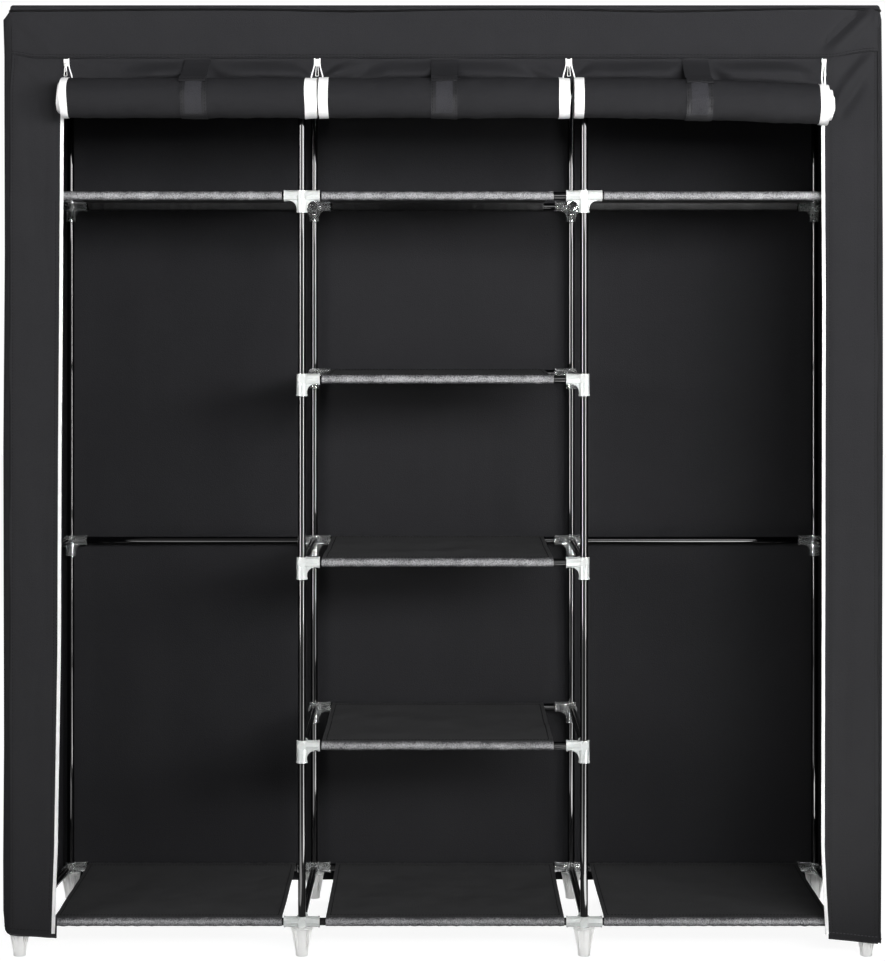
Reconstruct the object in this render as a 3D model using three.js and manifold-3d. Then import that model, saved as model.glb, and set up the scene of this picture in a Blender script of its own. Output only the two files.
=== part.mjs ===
// A portable fabric wardrobe with three bays. Eight uprights stand in six level frames of rails and
// push-fit connectors. Nine fabric shelves hang on the rails by their sleeves. A fabric cover hangs
// over the frame, and its three doors are rolled up outside it, each held by a strap.
// Lengths are millimetres. +X is to the right, +Y to the back and +Z up.

import * as THREE from "three";
import { mergeVertices } from "three/addons/utils/BufferGeometryUtils.js";
import Module from "manifold-3d";

const wasm = await Module();
wasm.setup();

// Frame
const bayPitch = 502; // between neighbouring front uprights
const frameDepth = 420; // between a front and a rear upright
const rearInset = 26; // the outer rear uprights stand this much nearer the middle
const railHeight = 60; // axis of the lowest rails above the floor
const bottomStep = 313; // from the lowest rails to the next ones
const levelStep = 326; // between the levels above those
const tubeRadius = 6.8;
const tubeWall = 0.8;
const fitGap = 0.3; // between two pieces that touch

// Connectors
const armWall = 2.4;
const armRadius = tubeRadius + fitGap + armWall;
const webRun = 12.5; // the curved web under an arm, beside the down arm
const webFall = 14.5;
const webThickness = 8;
const armLip = 10; // arm past the web
const downLip = 6; // down arm below the web
const capThickness = 2; // closes the top connectors
const webReach = armRadius + webRun;
const webDrop = armRadius + webFall;
const armLength = webReach + armLip;
const downArmLength = webDrop + downLip;

// Feet
const footTopRadius = 19.5;
const footBottomRadius = 10.5;
const footEdge = 1; // rounded lower edge
const pegLength = 8;
const footHeight = railHeight - armRadius - fitGap;

// Shelves
const shelfCloth = 0.8;
const shelfSlack = 22; // bare rail left over in the middle bay
const bottomShelfSlack = 7; // the same at the lowest level, where the shelf is pushed to the right
const sleeveGap = 3; // between a sleeve and the connector that it is pushed against
const sleeveInner = tubeRadius + fitGap;
const sleeveOuter = sleeveInner + shelfCloth;

// Cover
const coverCloth = 1.2;
const coverSlack = 24.5; // the cover bulges this far past the outer uprights' axes
const hemHeight = 30;
const valanceDrop = 93;
const stripWidth = 102;
const tapeWidth = 6.5;
const tapeHem = 7; // fabric below the tape's end
const tapeTopGap = 4; // tape's top below the valance's hem

// Doors
const doorCloth = 1;
const zipInset = 28.5; // the inner zips from the inner uprights' axes, towards the middle
const zipHalfGap = 1.5; // between a zip's line and each of its two edges
const curtainTuck = 12; // behind the valance
const waveDepth = 4;
const waveCount = 5;
const waveStart = 16; // waves begin this far below the valance's hem
const waveRun = 24; // and reach full depth over this height, and over this width from each edge
const rollRadius = 36.2;
const windingGap = 3; // between the middles of two layers of a roll
const rollTurns = 10;
const rollDrop = 74; // roll's axis below the valance's hem
const rollSpill = 11; // the right door's outer end is wound this much wider
const bendHeight = 36; // the hanging cloth leaves the cover's plane this far above the roll's axis

// Straps
const strapWidth = 46;
const strapCloth = 1;
const strapTuck = 9; // behind the valance
const strapSteps = 11; // of the roll's facets, from its back down and round to the strap's end
const flapSteps = 1; // of those that the flap covers
const strapShifts = { left: 14, center: 2, right: -2 }; // from the middle of each door

// Zip sliders and their pulls
const pullWidth = 6.4;
const pullLength = 24;
const pullThickness = 1.4;
const pullSideGap = 0.4;
const barRadius = 0.9;
const eyeGap = 0.35;
const eyeWall = 1.25;
const eyeClearance = 0.6; // between the eye and the slider's face
const lugWidth = 1.4;
const lugHeight = 4;
const sliderShoulder = 0.5;
const sliderHeight = 12.4;
const sliderThickness = 3.6;
const sliderDrop = 1.8; // below the valance's hem
const barDrop = 7; // bar below the slider's top
const rollClearance = 2.8; // between the pulls and the rolls' backs
const leftZipLean = 7; // the left slider hangs this much nearer the middle

// Facets
const tubeSides = 8;
const webSteps = 2;
const turnSteps = 16;
const curtainColumns = 20;
const curtainRows = 5;
const weldDistance = 1e-4;
const overrun = 1; // a cut runs this far past the face it opens

const xAxis = new THREE.Vector3(1, 0, 0);
const yAxis = new THREE.Vector3(0, 1, 0);
const zAxis = new THREE.Vector3(0, 0, 1);
const fullTurn = 2 * Math.PI;
const quarterTurn = Math.PI / 2;
const facetTurn = fullTurn / tubeSides;

// Levels and planes that several pieces share
const levelHeights = [railHeight];
for (let level = 1; level <= 5; level += 1) {
  levelHeights.push(railHeight + bottomStep + (level - 1) * levelStep);
}
const topLevel = levelHeights.length - 1;
const upperLevel = topLevel - 1;
const coverTop = levelHeights[topLevel] + armRadius + fitGap;
const stripBack = -(footTopRadius + fitGap);
const stripFront = stripBack - coverCloth;
const flapBack = stripFront - fitGap;
const valanceBack = flapBack - strapCloth - fitGap;
const valanceFront = valanceBack - coverCloth;
const backFront = frameDepth + footTopRadius + fitGap;
const backBack = backFront + coverCloth;
const valanceBottom = coverTop - fitGap - valanceDrop;
const outerColumn = 1.5 * bayPitch;
const coverHalf = outerColumn + coverSlack;
const outerZip = coverHalf - stripWidth - zipHalfGap;
const innerZip = bayPitch / 2 - zipInset;
const eyeRadius = barRadius + eyeGap + eyeWall;
const sliderBack = stripFront - fitGap;
const sliderFace = sliderBack - sliderThickness;
const barDepth = sliderFace - eyeClearance - eyeRadius;
const sliderTop = valanceBottom - sliderDrop;
const barHeight = sliderTop - barDrop;
const rollAxis = new THREE.Vector2(
  barDepth - eyeRadius - rollClearance - rollRadius - doorCloth / 2,
  valanceBottom - rollDrop,
);

const wardrobe = new THREE.Group();

const finishes = {
  enamel: new THREE.MeshStandardMaterial({ color: "#0b0b0c", roughness: 0.25, metalness: 0.6 }),
  plastic: new THREE.MeshStandardMaterial({ color: "#f2f3f2", roughness: 0.35, metalness: 0 }),
  fabric: new THREE.MeshStandardMaterial({ color: "#303031", roughness: 0.9, metalness: 0 }),
  shelf: new THREE.MeshStandardMaterial({ color: "#2a2a2b", roughness: 0.95, metalness: 0 }),
  zip: new THREE.MeshStandardMaterial({ color: "#f6f6f6", roughness: 0.5, metalness: 0 }),
};

function place(name, geometry, finish) {
  const mesh = new THREE.Mesh(geometry, finish);
  mesh.name = name;
  wardrobe.add(mesh);
}

// Joining and cutting

function solidOf(geometry) {
  const bare = geometry.clone();
  bare.deleteAttribute("normal");
  bare.deleteAttribute("uv");
  const welded = mergeVertices(bare, weldDistance);
  const mesh = new wasm.Mesh({
    numProp: 3,
    vertProperties: welded.attributes.position.array,
    triVerts: new Uint32Array(welded.index.array),
  });
  return new wasm.Manifold(mesh);
}

function geometryOf(solid) {
  const mesh = solid.getMesh();
  const geometry = new THREE.BufferGeometry();
  geometry.setAttribute("position", new THREE.BufferAttribute(mesh.vertProperties, mesh.numProp));
  geometry.setIndex(new THREE.BufferAttribute(mesh.triVerts, 1));
  geometry.computeVertexNormals();
  return geometry;
}

function joined(geometries) {
  return geometries.map(solidOf).reduce((whole, piece) => whole.add(piece));
}

function cut(solid, geometries) {
  return geometries.reduce((left, tool) => left.subtract(solidOf(tool)), solid);
}

// Shapes

// A round bar from one point to another.
function bar(from, to, radius) {
  const run = new THREE.Vector3().subVectors(to, from);
  const geometry = new THREE.CylinderGeometry(radius, radius, run.length(), tubeSides);
  const turn = new THREE.Quaternion().setFromUnitVectors(yAxis, run.normalize());
  const middle = new THREE.Vector3().addVectors(from, to).multiplyScalar(0.5);
  return geometry.applyQuaternion(turn).translate(middle.x, middle.y, middle.z);
}

function upright(position, bottom, top, radius) {
  return bar(
    new THREE.Vector3(position.x, position.y, bottom),
    new THREE.Vector3(position.x, position.y, top),
    radius,
  );
}

// A box between two corners.
function block(left, right, front, back, bottom, top) {
  const geometry = new THREE.BoxGeometry(right - left, back - front, top - bottom);
  return geometry.translate((left + right) / 2, (front + back) / 2, (bottom + top) / 2);
}

// A plan outline in X and Y, raised from bottom to top.
function raised(corners, bottom, top) {
  const outline = new THREE.Shape(corners.map(([x, y]) => new THREE.Vector2(x, y)));
  const options = { depth: top - bottom, bevelEnabled: false };
  return new THREE.ExtrudeGeometry(outline, options).translate(0, 0, bottom);
}

// Points round a centre, one to a facet of a tube, from one angle to another.
function arc(centre, radius, from, to) {
  const steps = Math.round(Math.abs(to - from) / facetTurn);
  const points = [];
  for (let step = 0; step <= steps; step += 1) {
    const turn = THREE.MathUtils.lerp(from, to, step / steps);
    const out = new THREE.Vector2(Math.cos(turn), Math.sin(turn)).multiplyScalar(radius);
    points.push(out.add(centre));
  }
  return points;
}

// An outline drawn in Y and Z, drawn out along X from left to right.
function alongX(outline, left, right) {
  const options = { depth: right - left, bevelEnabled: false };
  const lay = new THREE.Matrix4().makeBasis(yAxis, zAxis, xAxis);
  return new THREE.ExtrudeGeometry(outline, options).applyMatrix4(lay).translate(left, 0, 0);
}

// The outline of a band of cloth, half its thickness to each side of a path.
function band(path, thickness) {
  const near = [];
  const far = [];
  path.forEach((point, i) => {
    const before = path[Math.max(i - 1, 0)];
    const after = path[Math.min(i + 1, path.length - 1)];
    const along = new THREE.Vector2().subVectors(after, before).normalize();
    const side = new THREE.Vector2(-along.y, along.x).multiplyScalar(thickness / 2);
    near.push(point.clone().add(side));
    far.unshift(point.clone().sub(side));
  });
  return new THREE.Shape([...near, ...far]);
}

// A closed sheet over a grid of centre points, with its thickness along Y.
function sheet(columns, rows, centreAt, thickness) {
  const positions = [];
  const indices = [];
  const corner = (face, row, column) => (face * (rows + 1) + row) * (columns + 1) + column;
  const quad = (a, b, c, d) => indices.push(a, b, c, a, c, d);
  for (const side of [-1, 1]) {
    for (let row = 0; row <= rows; row += 1) {
      for (let column = 0; column <= columns; column += 1) {
        const centre = centreAt(column / columns, row / rows);
        positions.push(centre.x, centre.y + (side * thickness) / 2, centre.z);
      }
    }
  }
  for (let row = 0; row < rows; row += 1) {
    for (let column = 0; column < columns; column += 1) {
      const ring = [
        [row, column],
        [row + 1, column],
        [row + 1, column + 1],
        [row, column + 1],
      ];
      quad(...ring.map(([r, c]) => corner(0, r, c)));
      quad(...ring.reverse().map(([r, c]) => corner(1, r, c)));
    }
  }
  for (let row = 0; row < rows; row += 1) {
    quad(corner(0, row, 0), corner(1, row, 0), corner(1, row + 1, 0), corner(0, row + 1, 0));
    const last = columns;
    quad(corner(0, row, last), corner(0, row + 1, last), corner(1, row + 1, last), corner(1, row, last));
  }
  for (let column = 0; column < columns; column += 1) {
    const next = column + 1;
    quad(corner(0, 0, column), corner(0, 0, next), corner(1, 0, next), corner(1, 0, column));
    quad(
      corner(0, rows, column),
      corner(1, rows, column),
      corner(1, rows, next),
      corner(0, rows, next),
    );
  }
  const geometry = new THREE.BufferGeometry();
  geometry.setAttribute("position", new THREE.Float32BufferAttribute(positions, 3));
  geometry.setIndex(indices);
  geometry.computeVertexNormals();
  return geometry;
}

// Uprights and feet

const rowNames = ["front", "rear"];

// Where an upright's axis stands. Columns run 0 to 3 from the left, and row 1 is the rear one.
function standing(column, row) {
  const outward = (column - 1.5) * bayPitch;
  const isOuter = column === 0 || column === 3;
  const inset = isOuter && row === 1 ? rearInset * Math.sign(outward) : 0;
  return new THREE.Vector3(outward - inset, row * frameDepth, 0);
}

function uprightTube(position) {
  const bottom = footHeight + pegLength + fitGap;
  const top = levelHeights[topLevel] + armRadius - capThickness - fitGap;
  const outside = solidOf(upright(position, bottom, top, tubeRadius));
  const bore = upright(position, bottom - overrun, top + overrun, tubeRadius - tubeWall);
  return geometryOf(cut(outside, [bore]));
}

function foot(position) {
  const profile = [
    new THREE.Vector2(0, 0),
    new THREE.Vector2(footBottomRadius - footEdge, 0),
    new THREE.Vector2(footBottomRadius, footEdge),
    new THREE.Vector2(footTopRadius, footHeight),
    new THREE.Vector2(tubeRadius, footHeight),
    new THREE.Vector2(tubeRadius, footHeight + pegLength),
    new THREE.Vector2(0, footHeight + pegLength),
  ];
  const geometry = new THREE.LatheGeometry(profile, tubeSides).rotateX(quarterTurn);
  return geometry.translate(position.x, position.y, 0);
}

for (const row of [0, 1]) {
  for (let column = 0; column < 4; column += 1) {
    const position = standing(column, row);
    place(`upright_${rowNames[row]}_${column + 1}`, uprightTube(position), finishes.enamel);
    place(`foot_${rowNames[row]}_${column + 1}`, foot(position), finishes.plastic);
  }
}

// Level frames: each level's connectors, its rails from side to side and its rails from front to back

const everyBay = [0, 1, 2];
const middleBay = [1];
const levels = [
  { name: "bottom_frame", columns: [0, 1, 2, 3], railBays: [everyBay, everyBay] },
  { name: "shelf_frame_1", columns: [1, 2], railBays: [middleBay, middleBay] },
  { name: "mid_frame_2", columns: [0, 1, 2, 3], railBays: [middleBay, everyBay] },
  { name: "shelf_frame_3", columns: [1, 2], railBays: [middleBay, middleBay] },
  { name: "upper_frame_4", columns: [0, 1, 2, 3], railBays: [everyBay, everyBay] },
  { name: "top_frame_5", columns: [0, 1, 2, 3], railBays: [everyBay, everyBay] },
];

// The curved web under an arm that points along a level direction.
function web(centre, direction) {
  const outline = new THREE.Shape();
  outline.moveTo(0, 0);
  outline.lineTo(0, -webDrop);
  for (let step = 0; step <= webSteps; step += 1) {
    const turn = (step / webSteps) * quarterTurn;
    outline.lineTo(webReach - webRun * Math.cos(turn), webFall * Math.sin(turn) - webDrop);
  }
  outline.lineTo(webReach, 0);
  const options = { depth: webThickness, bevelEnabled: false };
  const across = new THREE.Vector3().crossVectors(direction, zAxis);
  const lay = new THREE.Matrix4().makeBasis(direction, zAxis, across);
  return new THREE.ExtrudeGeometry(outline, options)
    .translate(0, 0, -webThickness / 2)
    .applyMatrix4(lay)
    .translate(centre.x, centre.y, centre.z);
}

function levelFrame(level) {
  const { columns, railBays } = levels[level];
  const height = levelHeights[level];
  const axisAt = (column, row) => standing(column, row).setZ(height);
  const runs = [];
  for (const row of [0, 1]) {
    for (const bay of railBays[row]) runs.push([axisAt(bay, row), axisAt(bay + 1, row)]);
  }
  for (const column of columns) runs.push([axisAt(column, 0), axisAt(column, 1)]);

  const hasDownArm = level > 0;
  const bottom = height - (hasDownArm ? downArmLength : armRadius);
  const top = height + armRadius;
  const bodies = [];
  const bores = [];
  for (const column of columns) {
    for (const row of [0, 1]) {
      const position = standing(column, row);
      const boreTop = level === topLevel ? top - capThickness : top + overrun;
      bodies.push(upright(position, bottom, top, armRadius));
      bores.push(upright(position, bottom - overrun, boreTop, tubeRadius + fitGap));
    }
  }
  for (const [from, to] of runs) {
    bodies.push(bar(from, to, tubeRadius));
    const direction = new THREE.Vector3().subVectors(to, from).normalize();
    for (const [start, way] of [[from, direction], [to, direction.clone().negate()]]) {
      bodies.push(bar(start, start.clone().addScaledVector(way, armLength), armRadius));
      if (hasDownArm) bodies.push(web(start, way));
    }
  }
  return geometryOf(cut(joined(bodies), bores));
}

levels.forEach(({ name }, level) => place(name, levelFrame(level), finishes.enamel));

// Shelves: a sheet with a sleeve along its front and its rear edge, each round a rail

function shelfOutline() {
  const front = new THREE.Vector2(0, 0);
  const rear = new THREE.Vector2(frameDepth, 0);
  const seam = shelfCloth / Math.tan(facetTurn / 2);
  const under = sleeveOuter - shelfCloth;
  const outline = new THREE.Shape([
    ...arc(rear, sleeveOuter, quarterTurn, quarterTurn + facetTurn - fullTurn),
    new THREE.Vector2(frameDepth - seam, under),
    new THREE.Vector2(seam, under),
    ...arc(front, sleeveOuter, quarterTurn - facetTurn, quarterTurn - fullTurn),
  ]);
  for (const centre of [front, rear]) {
    outline.holes.push(new THREE.Path(arc(centre, sleeveInner, 0, fullTurn - facetTurn)));
  }
  return outline;
}

// The side bays' sleeves fill the shorter rear rails; the middle ones are pushed to one side.
const armInside = bayPitch / 2 - armLength - sleeveGap;
const armOutside = bayPitch / 2 + armLength + sleeveGap;
const rearArmInside = outerColumn - rearInset - armLength - sleeveGap;
const shelfSpans = {
  left: [-rearArmInside, -armOutside],
  center: [-armInside, armInside + sleeveGap - shelfSlack],
  bottomCenter: [-armInside + bottomShelfSlack, armInside],
  right: [armOutside, rearArmInside],
};
const shelves = [
  { name: "shelf_bottom_left", bay: "left", level: 0 },
  { name: "shelf_bottom_center", bay: "bottomCenter", level: 0 },
  { name: "shelf_bottom_right", bay: "right", level: 0 },
  { name: "shelf_center_1", bay: "center", level: 1 },
  { name: "shelf_center_2", bay: "center", level: 2 },
  { name: "shelf_center_3", bay: "center", level: 3 },
  { name: "shelf_upper_left", bay: "left", level: upperLevel },
  { name: "shelf_upper_center", bay: "center", level: upperLevel },
  { name: "shelf_upper_right", bay: "right", level: upperLevel },
];
for (const { name, bay, level } of shelves) {
  const cloth = alongX(shelfOutline(), ...shelfSpans[bay]);
  place(name, cloth.translate(0, 0, levelHeights[level]), finishes.shelf);
}

// Cover

// Half the cover's width at a depth: it narrows to the back with the frame.
function coverHalfAt(depth) {
  return coverHalf - (rearInset * Math.max(depth, 0)) / frameDepth;
}

function sideCover(side) {
  const front = stripBack + fitGap;
  const back = backFront - fitGap;
  const corners = [
    [side * (coverHalfAt(front) - coverCloth), front],
    [side * coverHalfAt(front), front],
    [side * coverHalfAt(0), 0],
    [side * coverHalfAt(back), back],
    [side * (coverHalfAt(back) - coverCloth), back],
    [side * (coverHalfAt(0) - coverCloth), 0],
  ];
  return raised(corners, hemHeight, coverTop - fitGap);
}

function topCover() {
  const backHalf = coverHalfAt(backBack);
  const corners = [
    [-coverHalf, valanceFront],
    [coverHalf, valanceFront],
    [coverHalf, 0],
    [backHalf, backBack],
    [-backHalf, backBack],
    [-coverHalf, 0],
  ];
  return raised(corners, coverTop, coverTop + coverCloth);
}

const skirtTop = coverTop - fitGap;
const backHalf = coverHalfAt(backBack);
const stripInside = outerZip + zipHalfGap + tapeWidth + fitGap;
const tapeInside = outerZip + zipHalfGap;
const tapeTop = valanceBottom - tapeTopGap;
place("cover_back", block(-backHalf, backHalf, backFront, backBack, hemHeight, skirtTop), finishes.fabric);
place("cover_left_side", sideCover(-1), finishes.fabric);
place("cover_right_side", sideCover(1), finishes.fabric);
place("cover_top", topCover(), finishes.fabric);
place(
  "cover_valance",
  block(-coverHalf, coverHalf, valanceFront, valanceBack, valanceBottom, skirtTop),
  finishes.fabric,
);
place(
  "cover_front_strip_left",
  block(-coverHalf, -stripInside, stripFront, stripBack, hemHeight, skirtTop),
  finishes.fabric,
);
place(
  "cover_front_strip_right",
  block(stripInside, coverHalf, stripFront, stripBack, hemHeight, skirtTop),
  finishes.fabric,
);
const tapeBottom = hemHeight + tapeHem;
place(
  "zipper_tape_left",
  block(-tapeInside - tapeWidth, -tapeInside, stripFront, stripBack, tapeBottom, tapeTop),
  finishes.zip,
);
place(
  "zipper_tape_right",
  block(tapeInside, tapeInside + tapeWidth, stripFront, stripBack, tapeBottom, tapeTop),
  finishes.zip,
);

// Doors: the cloth hangs behind the valance, runs out to the roll's back and is wound outwards

const curtainPlane = (stripFront + stripBack) / 2;

// Depth of the hanging cloth's middle at a height.
function hangingDepth(height) {
  const share = THREE.MathUtils.clamp((rollAxis.y + bendHeight - height) / bendHeight, 0, 1);
  const ease = THREE.MathUtils.smoothstep(share, 0, 1);
  return THREE.MathUtils.lerp(curtainPlane, rollAxis.x + rollRadius, ease);
}

function hangingPath(top, offset) {
  const path = [];
  for (let step = 0; step <= curtainRows; step += 1) {
    const height = THREE.MathUtils.lerp(top, rollAxis.y, step / curtainRows);
    path.push(new THREE.Vector2(hangingDepth(height) + offset, height));
  }
  return path;
}

// A point beside the wound cloth, at an angle from the roll's back down and round its front.
function besideRoll(angle, offset) {
  const radius = rollRadius - (windingGap * angle) / fullTurn + offset;
  const point = new THREE.Vector2(Math.cos(angle), -Math.sin(angle));
  return point.multiplyScalar(radius).add(rollAxis);
}

function rollSteps(from, to, offset) {
  const path = [];
  for (let step = from; step <= to; step += 1) {
    path.push(besideRoll((step * fullTurn) / turnSteps, offset));
  }
  return path;
}

function curtain(left, right) {
  const top = valanceBottom + curtainTuck;
  const bottom = rollAxis.y + fitGap;
  const centreAt = (across, down) => {
    const x = THREE.MathUtils.lerp(left, right, across);
    const z = THREE.MathUtils.lerp(top, bottom, down);
    const edge = THREE.MathUtils.smoothstep(Math.min(x - left, right - x), 0, waveRun);
    const below = THREE.MathUtils.smoothstep(valanceBottom - waveStart - z, 0, waveRun);
    const above = THREE.MathUtils.smoothstep(z - bottom, 0, waveRun);
    const wave = (1 - Math.cos(across * waveCount * fullTurn)) / 2;
    const depth = hangingDepth(z) - waveDepth * wave * edge * below * above;
    return new THREE.Vector3(x, depth, z);
  };
  return sheet(curtainColumns, curtainRows, centreAt, doorCloth);
}

function roll(left, right) {
  return alongX(band(rollSteps(0, rollTurns * turnSteps, 0), doorCloth), left, right);
}

// The strap hangs behind the cloth, passes under the roll and comes up its front.
function rollStrap(centre) {
  const offset = doorCloth / 2 + fitGap + strapCloth / 2;
  const path = hangingPath(valanceBottom + strapTuck, offset).slice(0, -1);
  path.push(...rollSteps(0, strapSteps, offset));
  return alongX(band(path, strapCloth), centre - strapWidth / 2, centre + strapWidth / 2);
}

// The flap hangs from behind the valance's hem and lies over the strap's end on the roll.
function strapFlap(centre) {
  const offset = doorCloth / 2 + strapCloth + fitGap + fitGap + strapCloth / 2;
  const plane = flapBack - strapCloth / 2;
  const path = [
    new THREE.Vector2(plane, valanceBottom + strapTuck),
    new THREE.Vector2(plane, valanceBottom - fitGap),
    ...rollSteps(strapSteps - flapSteps, strapSteps, offset).reverse(),
  ];
  return alongX(band(path, strapCloth), centre - strapWidth / 2, centre + strapWidth / 2);
}

const doors = [
  { side: "left", left: -outerZip, right: -innerZip, spill: 0 },
  { side: "center", left: -innerZip, right: innerZip, spill: 0 },
  { side: "right", left: innerZip, right: outerZip, spill: rollSpill },
];
for (const { side, left, right, spill } of doors) {
  const leftEdge = left + zipHalfGap;
  const rightEdge = right - zipHalfGap;
  const strapMiddle = (left + right) / 2 + strapShifts[side];
  place(`door_curtain_${side}`, curtain(leftEdge, rightEdge), finishes.fabric);
  place(`door_roll_${side}`, roll(leftEdge, rightEdge + spill), finishes.fabric);
  place(`roll_strap_${side}`, rollStrap(strapMiddle), finishes.fabric);
  place(`strap_flap_${side}`, strapFlap(strapMiddle), finishes.fabric);
}

// The least gap between two neighbouring turns of a roll, measured on its points.
function leastRollGap() {
  const path = rollSteps(0, rollTurns * turnSteps, 0);
  let least = Infinity;
  path.forEach((point, i) => {
    for (let j = i + turnSteps / 2; j < path.length; j += 1) {
      least = Math.min(least, point.distanceTo(path[j]) - doorCloth);
    }
  });
  return least;
}
console.log(`least gap in a roll: ${leastRollGap().toFixed(2)} mm`);

// Zip sliders and pulls

function slider(x) {
  const lugOutside = pullWidth / 2 + pullSideGap + lugWidth;
  const lugInside = lugOutside - lugWidth;
  const half = lugOutside + sliderShoulder;
  const lugFront = barDepth - barRadius - sliderShoulder;
  const lugTop = barHeight + lugHeight / 2;
  const lugBottom = barHeight - lugHeight / 2;
  const barLeft = new THREE.Vector3(x - lugOutside, barDepth, barHeight);
  const barRight = new THREE.Vector3(x + lugOutside, barDepth, barHeight);
  const pieces = [
    block(x - half, x + half, sliderFace, sliderBack, sliderTop - sliderHeight, sliderTop),
    block(x - lugOutside, x - lugInside, lugFront, sliderFace + overrun, lugBottom, lugTop),
    block(x + lugInside, x + lugOutside, lugFront, sliderFace + overrun, lugBottom, lugTop),
    bar(barLeft, barRight, barRadius),
  ];
  return geometryOf(joined(pieces));
}

// A flat pull that hangs on the slider's bar by an eye.
function pull(x) {
  const half = pullThickness / 2;
  const start = -Math.acos(half / eyeRadius);
  const outline = new THREE.Shape();
  outline.moveTo(half, eyeRadius * Math.sin(start));
  outline.absarc(0, 0, eyeRadius, start, Math.PI - start, false);
  outline.lineTo(-half, -pullLength);
  outline.lineTo(half, -pullLength);
  outline.holes.push(new THREE.Path().absarc(0, 0, barRadius + eyeGap, 0, fullTurn, false));
  const plate = alongX(outline, x - pullWidth / 2, x + pullWidth / 2);
  return plate.translate(0, barDepth, barHeight);
}

[leftZipLean - outerZip, -innerZip, innerZip, outerZip].forEach((x, i) => {
  place(`zipper_slider_${i + 1}`, slider(x), finishes.zip);
  place(`zipper_pull_${i + 1}`, pull(x), finishes.zip);
});

// The origin is on the floor, under the middle of the whole wardrobe.
const bounds = new THREE.Box3().setFromObject(wardrobe);
wardrobe.position.y = -(bounds.min.y + bounds.max.y) / 2;

export default wardrobe;
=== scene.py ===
import math
import random

import bpy
import numpy as np
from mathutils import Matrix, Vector


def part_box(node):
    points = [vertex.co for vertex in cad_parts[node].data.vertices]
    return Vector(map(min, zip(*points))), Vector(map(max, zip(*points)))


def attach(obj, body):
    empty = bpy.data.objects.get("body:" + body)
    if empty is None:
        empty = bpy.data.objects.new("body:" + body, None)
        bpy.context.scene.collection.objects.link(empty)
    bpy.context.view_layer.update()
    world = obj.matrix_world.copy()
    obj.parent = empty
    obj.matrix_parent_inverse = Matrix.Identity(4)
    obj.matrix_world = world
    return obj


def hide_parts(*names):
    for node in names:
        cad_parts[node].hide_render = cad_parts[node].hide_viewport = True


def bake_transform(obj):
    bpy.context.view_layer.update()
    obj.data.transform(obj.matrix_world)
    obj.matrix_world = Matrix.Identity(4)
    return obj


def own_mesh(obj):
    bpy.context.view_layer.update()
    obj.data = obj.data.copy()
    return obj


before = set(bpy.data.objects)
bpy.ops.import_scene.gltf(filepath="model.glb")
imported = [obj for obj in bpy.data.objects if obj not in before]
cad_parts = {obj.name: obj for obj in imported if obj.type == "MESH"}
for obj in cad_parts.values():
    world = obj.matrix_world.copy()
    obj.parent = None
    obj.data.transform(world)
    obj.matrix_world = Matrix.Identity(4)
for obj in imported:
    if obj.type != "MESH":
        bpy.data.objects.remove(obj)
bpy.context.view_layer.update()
print("frame loaded")

mm = 0.001
sides = ("left", "center", "right")
rows = ("front", "rear")
columns = (1, 2, 3, 4)


# Materials

def linear(code):
    # sRGB hex to the linear colour that the shaders take
    parts = [int(code[i:i + 2], 16) / 255 for i in (1, 3, 5)]
    return tuple(p / 12.92 if p <= 0.04045 else ((p + 0.055) / 1.055) ** 2.4 for p in parts) + (1,)


def addNode(tree, kind, settings=None, links=None):
    node = tree.nodes.new(kind)
    for key, value in (settings or {}).items():
        if isinstance(key, str) and hasattr(node, key):
            setattr(node, key, value)
        else:
            node.inputs[key].default_value = value
    for key, source in (links or {}).items():
        tree.links.new(source, node.inputs[key])
    return node


def startMaterial(name):
    material = bpy.data.materials.new(name)
    material.use_nodes = True
    material.node_tree.nodes.clear()
    place = addNode(material.node_tree, "ShaderNodeTexCoord")
    return material, material.node_tree, place.outputs["Object"]


def pattern(tree, place, kind, size, settings=None):
    # A texture whose features are about this size
    return addNode(tree, kind, {"Scale": 1 / size, **(settings or {})}, {"Vector": place})


def surface(tree, settings, links, height, relief, shades=None):
    # The shader with its bump and, given two shades and the share of the second, the colour between them
    bump = addNode(tree, "ShaderNodeBump", relief, {"Height": height})
    links = {**links, "Normal": bump.outputs[0]}
    if shades:
        first, second, share = shades
        mixed = addNode(tree, "ShaderNodeMix", {"data_type": "RGBA", 6: linear(first), 7: linear(second)},
                        {0: share})
        links["Base Color"] = mixed.outputs[2]
    shader = addNode(tree, "ShaderNodeBsdfPrincipled", settings, links)
    addNode(tree, "ShaderNodeOutputMaterial", {}, {"Surface": shader.outputs[0]})


# Spunbond polypropylene, bonded by heated rollers in a grid of small points: dull and dark with a
# slightly cloudy grey and a fine pitted grain. The real points are about 1 mm apart, drawn at 2.4 mm.
coverCloth = {
    "name": "spunbond polypropylene cover", "dark": "#202022", "light": "#262628", "roughness": (0.7, 0.86),
    "shine": 0.023, "points": 2.4 * mm, "fibres": 1.6 * mm, "clouds": 60 * mm, "relief": 0.4 * mm,
}
# The rolls show the doors' inner face, painted a little darker than the cover as painted shade.
shadedRollCloth = {
    **coverCloth, "name": "spunbond polypropylene door roll, painted shade", "dark": "#1d1d1f", "light": "#222224",
}
# The same cloth pressed smoother for the shelves, painted lighter than the cover as painted light.
litShelfCloth = {
    **coverCloth, "name": "spunbond polypropylene shelf, painted light", "dark": "#3c3c3d", "light": "#4b4b4c",
    "roughness": (0.5, 0.66), "shine": 0.05, "points": 2.6 * mm, "fibres": 2 * mm, "clouds": 40 * mm,
}
# Round the rear rails the sleeves are painted dark as painted shade, with a dull gleam along the middle.
shadedRearSleeveCloth = {
    "name": "spunbond polypropylene rear sleeve, painted shade", "dark": "#101011", "light": "#1b1b1c",
    "roughness": (0.3, 0.4), "shine": 0.25, "points": 3.2 * mm, "fibres": 2.4 * mm, "clouds": 30 * mm,
    "relief": 0.3 * mm,
}
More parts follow.
